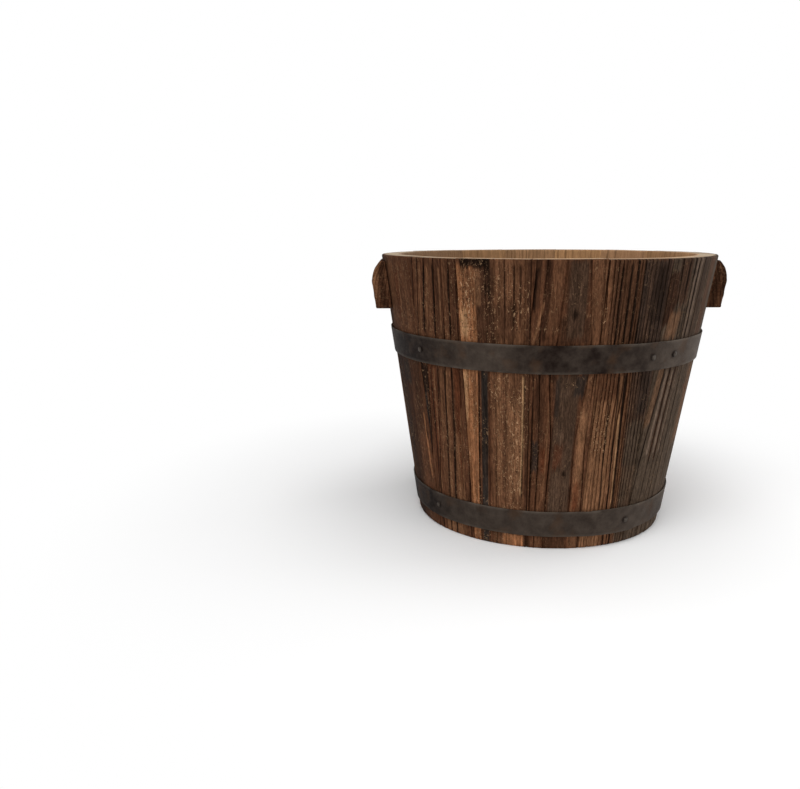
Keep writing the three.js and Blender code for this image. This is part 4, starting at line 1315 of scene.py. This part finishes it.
# %% The two grips
GRIP_WIDTH = 80
GRIP_DEPTH = 15
GRIP_LIP = 2
GRIP_ROUND = 28
GRIP_TOP = HEIGHT - 7.5
GRIP_BOTTOM = GRIP_TOP - 53
GRIP_EDGE = 1.4
GRIP_RING = 3.2  # millimetres from one ring to the next


def grip_profile():
    """The outer line of a grip as (distance from the axis, height) from its foot to its top."""
    level = GRIP_ROUND / math.cos(TAPER)
    overhang = level - (GRIP_DEPTH - GRIP_LIP)
    square = 1 + SLOPE ** 2
    rise = (math.sqrt(square * GRIP_ROUND ** 2 - overhang ** 2) - SLOPE * overhang) / square
    centre_z = GRIP_TOP - rise
    centre_x = outer_radius(centre_z) + GRIP_DEPTH - level
    stop = math.atan2(rise, outer_radius(GRIP_TOP) + GRIP_LIP - centre_x)
    turn = np.linspace(-TAPER, stop, 24)
    shoulder = np.stack([centre_x + GRIP_ROUND * np.cos(turn), centre_z + GRIP_ROUND * np.sin(turn)], axis=1)
    return np.vstack([[outer_radius(GRIP_BOTTOM) + GRIP_DEPTH, GRIP_BOTTOM], shoulder])


def grip_look(side, climb, depth, ring, seed, mirrored):
    """What the fir's recipe reads. A dark core lies between paler layers, as the ends show."""
    share, half = depth / GRIP_DEPTH, GRIP_WIDTH / 2
    burnt = cloud(side / 26, climb / 9, seed + 3)
    toast = blend(fade(burnt, 0.4, 0.65), TONES["brown"], TONES["chestnut"])
    core = 1 - fade(abs(share + 0.3 * (cloud(side / 30, climb / 18, seed + 7) - 0.5) - 0.42), 0.12, 0.24)
    toast = blend(0.75 * core, toast, TONES["umber"])
    outer = fade(share, 0.66, 0.76) * fade(climb, 0, 26) * fade(abs(side), half - 5, half - 1)
    toast = blend(0.8 * outer, toast, TONES["tan" if mirrored else "umber"])
    layers = 1 + 0.35 * (cloud(side / 40, climb / 3, seed + 9) - 0.5)
    return {
        "grain": np.stack([climb + 900 + seed, side, depth], axis=1),
        "ring": ring,
        "late": 0.55 * np.ones(len(side)),
        "toast": toast * (1.1 if mirrored else 0.9) * layers[:, None],
        "scars": 0.25 * fade(cloud(side / 12, climb / 12, seed + 5), 0.4, 0.65),
    }


def build_grip(name, mirrored):
    profile = grip_profile()
    run = np.concatenate([[0], np.cumsum(np.linalg.norm(np.diff(profile, axis=0), axis=1))])
    points, faces = rounded_skin((GRIP_WIDTH, run[-1], GRIP_DEPTH), (70, 36, 12), GRIP_EDGE)
    side, climb, depth = points[:, 0] - GRIP_WIDTH / 2, points[:, 1], points[:, 2]
    front_x, front_z = (np.interp(climb, run, profile[:, column]) for column in (0, 1))
    back_z = GRIP_BOTTOM + (GRIP_TOP - GRIP_BOTTOM) * climb / run[-1]
    back_x = np.sqrt((outer_radius(back_z) + CLEARANCE / math.cos(TAPER)) ** 2 - side ** 2)
    share = depth / GRIP_DEPTH
    x, z = back_x + (front_x - back_x) * share, back_z + (front_z - back_z) * share

    seed = 300 + 10 * mirrored
    ring = (depth + 2.6 * cloud(side / 60, climb / 20, seed) + 0.2 * climb) / GRIP_RING + 2
    early = 1 - line_shade(ring)
    x = x - (0.35 * early + 0.4 * cloud(side / 16, climb / 5, seed + 2)) * fade(share, 0.5, 1)
    flip = -1 if mirrored else 1
    points = np.stack([flip * x, flip * side, z], axis=1)
    look = grip_look(side, climb, depth, ring, seed, mirrored)
    return make_piece(f"{name}_shaped", points, faces, name, look, materials=[charred_fir])


build_grip("right_grip_block", False)
build_grip("left_grip_block", True)

# %% [markdown]
# ## Base boards
# Five rough-sawn boards lie side by side in the groove. They were never burnt, so they keep the pale
# brown of the inside. The band saw left low waves across them, about 4 mm apart. The middle board has
# the drain hole, cut with a boolean.

# %% The base
BASE_RADIUS = GROOVE_RADIUS - CLEARANCE
BOARD_EDGE = 0.7
BOARDS_ACROSS = 5
OUTER_CUT = 0.9  # the outer boards end this far inside the round, so that they have no knife edge
DRAIN_RADIUS = 10
DRAIN_SIDES = 40
BASE_RING = 3.4
SAW_PITCH = 4
SAW_DEPTH = 0.12
sawn_fir = fir("rough_sawn_fir", line_depth=0.5, fibre_depth=0.16, roughness=0.78,
               sheen=0.2, relief=0.15)


def build_base_board(number):
    width = 2 * BASE_RADIUS / BOARDS_ACROSS
    left = -BASE_RADIUS + (number - 1) * width + JOINT_GAP / 2
    right = left + width - JOINT_GAP
    left, right = max(left, OUTER_CUT - BASE_RADIUS), min(right, BASE_RADIUS - OUTER_CUT)
    length = 2 * BASE_RADIUS
    points, faces = rounded_skin((right - left, length, BASE_THICKNESS), (24, 90, 4), BOARD_EDGE)
    x = left + points[:, 0]
    y = (points[:, 1] / length * 2 - 1) * np.sqrt(BASE_RADIUS ** 2 - x ** 2)
    waves = SAW_DEPTH * np.sin(y * 2 * math.pi / SAW_PITCH + 3 * cloud(x / 20, y / 60, number)) - SAW_DEPTH
    worn = 0.4 * cloud(x / 8, y / 30, 500 + number)
    high = points[:, 2] / BASE_THICKNESS
    inwards = np.where(high > 0.5, waves - worn, worn - waves)
    z = BASE_RISE + points[:, 2] + inwards * fade(abs(high - 0.5), 0.3, 0.5)
    name, points = f"base_board_{number}", np.stack([x, y, z], axis=1)
    piece = make_piece(f"{name}_sawn", points, faces, name, materials=[sawn_fir])
    if number == (BOARDS_ACROSS + 1) // 2:
        turn = np.linspace(0, 2 * math.pi, DRAIN_SIDES, endpoint=False)
        circle = [(DRAIN_RADIUS * math.cos(t), DRAIN_RADIUS * math.sin(t)) for t in turn]
        cut(piece, *prism(circle, 0, 2 * (BASE_RISE + BASE_THICKNESS)))

    # The boolean makes new points, so the values are given after it
    x, y, z = (np.array([vertex.co for vertex in piece.data.vertices]) / MM).T
    heart = left + (right - left) * noise(number, 4, 8)
    away = np.hypot(x - heart + 3 * cloud(y / 70, 0, number), 12 + 0.8 * (z - BASE_RISE))
    tint = 0.85 + 0.3 * noise(number, 2, 6) + 0.2 * (cloud(x / 10, y / 50, 70 + number) - 0.5)
    give_values(piece.data, {
        "grain": np.stack([x + 700 * number, y, z], axis=1),
        "ring": away / BASE_RING,
        "late": 0.7 + 0 * x,
        "toast": linear("94714f") * tint[:, None],
        "scars": 0.25 + 0 * x,
    })
    return piece


for number in range(1, BOARDS_ACROSS + 1):
    build_base_board(number)

# %% [markdown]
# ## Light, floor and camera
# The photograph is a studio picture on white. A broad soft light stands above and to the left of the
# camera, a weaker one fills in from the right, one at the side puts a sheen on the wood and the steel
# there, and one from above reaches into the tub. The floor fades to white but keeps the shadow.

# %% Lamps and world
def soft_light(name, place, size, watts):
    """A square lamp, places and sizes in metres, that is turned to the middle of the planter."""
    lamp = bpy.data.lights.new(name, "AREA")
    lamp.shape, lamp.size, lamp.energy = "SQUARE", size, watts
    thing = in_scene(name, lamp)
    thing.location = place
    thing.rotation_euler = (MIDDLE - thing.location).to_track_quat("-Z", "Y").to_euler()


MIDDLE = Vector((0, 0, 0.15))
SKY_LIGHT = 0.3
soft_light("key_light", (-0.7, -1.3, 1.9), 1.4, 30)
soft_light("fill_light", (1.1, -1.4, 0.7), 1.2, 8)
soft_light("sheen_light", (1.5, 0.5, 0.9), 1.2, 11)
soft_light("top_light", (0.1, 0, 2.3), 1.6, 17)


def sees_backdrop(tree):
    """1 for a ray that shows the backdrop: from the camera, through glass or off a gloss. 0 for light."""
    path = add(tree, "LightPath")
    seen = path.outputs["Is Camera Ray"]
    for ray in ("Is Transmission Ray", "Is Glossy Ray"):
        seen = add(tree, "Math", {"operation": "MAXIMUM"}, {0: seen, 1: path.outputs[ray]})
    return seen


scene = bpy.context.scene
world = bpy.data.worlds.new("white_studio")
scene.world = world
world.use_nodes = True
sky = world.node_tree
sky.nodes.clear()
dim = add(sky, "Background", {"Color": grey(1.0), "Strength": SKY_LIGHT})
white = add(sky, "Background", {"Color": grey(1.0), "Strength": 1.0})
mixed = add(sky, "MixShader", {}, {0: sees_backdrop(sky), 1: dim, 2: white})
add(sky, "OutputWorld", {}, {"Surface": mixed})
scene.view_settings.view_transform = "Standard"

# %% A floor that keeps the shadow
FLOOR_REACH = 3000
FADE_START, FADE_END = 0.22, 0.6  # metres from the middle between which the floor turns into the white
corners = [(FLOOR_REACH * x, FLOOR_REACH * y, 0) for x, y in SQUARE]
floor_mesh = new_mesh("studio_floor", corners, [(0, 1, 2, 3)])
in_scene("studio_floor", floor_mesh)
paper, tree = new_material("white_paper_floor")
place = add(tree, "NewGeometry").outputs["Position"]
distance = add(tree, "VectorMath", {"operation": "LENGTH"}, {0: place}).outputs["Value"]
far = add(tree, "MapRange",
          {"interpolation_type": "SMOOTHSTEP", "From Min": FADE_START, "From Max": FADE_END},
          {"Value": distance})
far = add(tree, "Math", {"operation": "MULTIPLY"}, {0: far, 1: sees_backdrop(tree)})
matte = add(tree, "BsdfDiffuse", {"Color": grey(0.86)})
bright = add(tree, "Emission", {"Color": grey(1.0), "Strength": 1.0})
paper_mix = add(tree, "MixShader", {}, {0: far, 1: matte, 2: bright})
add(tree, "OutputMaterial", {}, {"Surface": paper_mix})
floor_mesh.materials.append(paper)

# %% The camera, at the photograph's angle
CAMERA_PLACE = (-0.1688, -0.9320, 0.3350)
CAMERA_PITCH = math.radians(90 - 11.88)
CAMERA_ROLL = math.radians(-0.17)
lens = bpy.data.cameras.new("photo_camera")
lens.lens, lens.sensor_width, lens.clip_start = 35.37, 36.0, 0.01
camera = in_scene("photo_camera", lens)
stand = Matrix.Translation(CAMERA_PLACE)
camera.matrix_world = stand @ Matrix.Rotation(CAMERA_PITCH, 4, "X") @ Matrix.Rotation(CAMERA_ROLL, 4, "Z")
scene.camera = camera
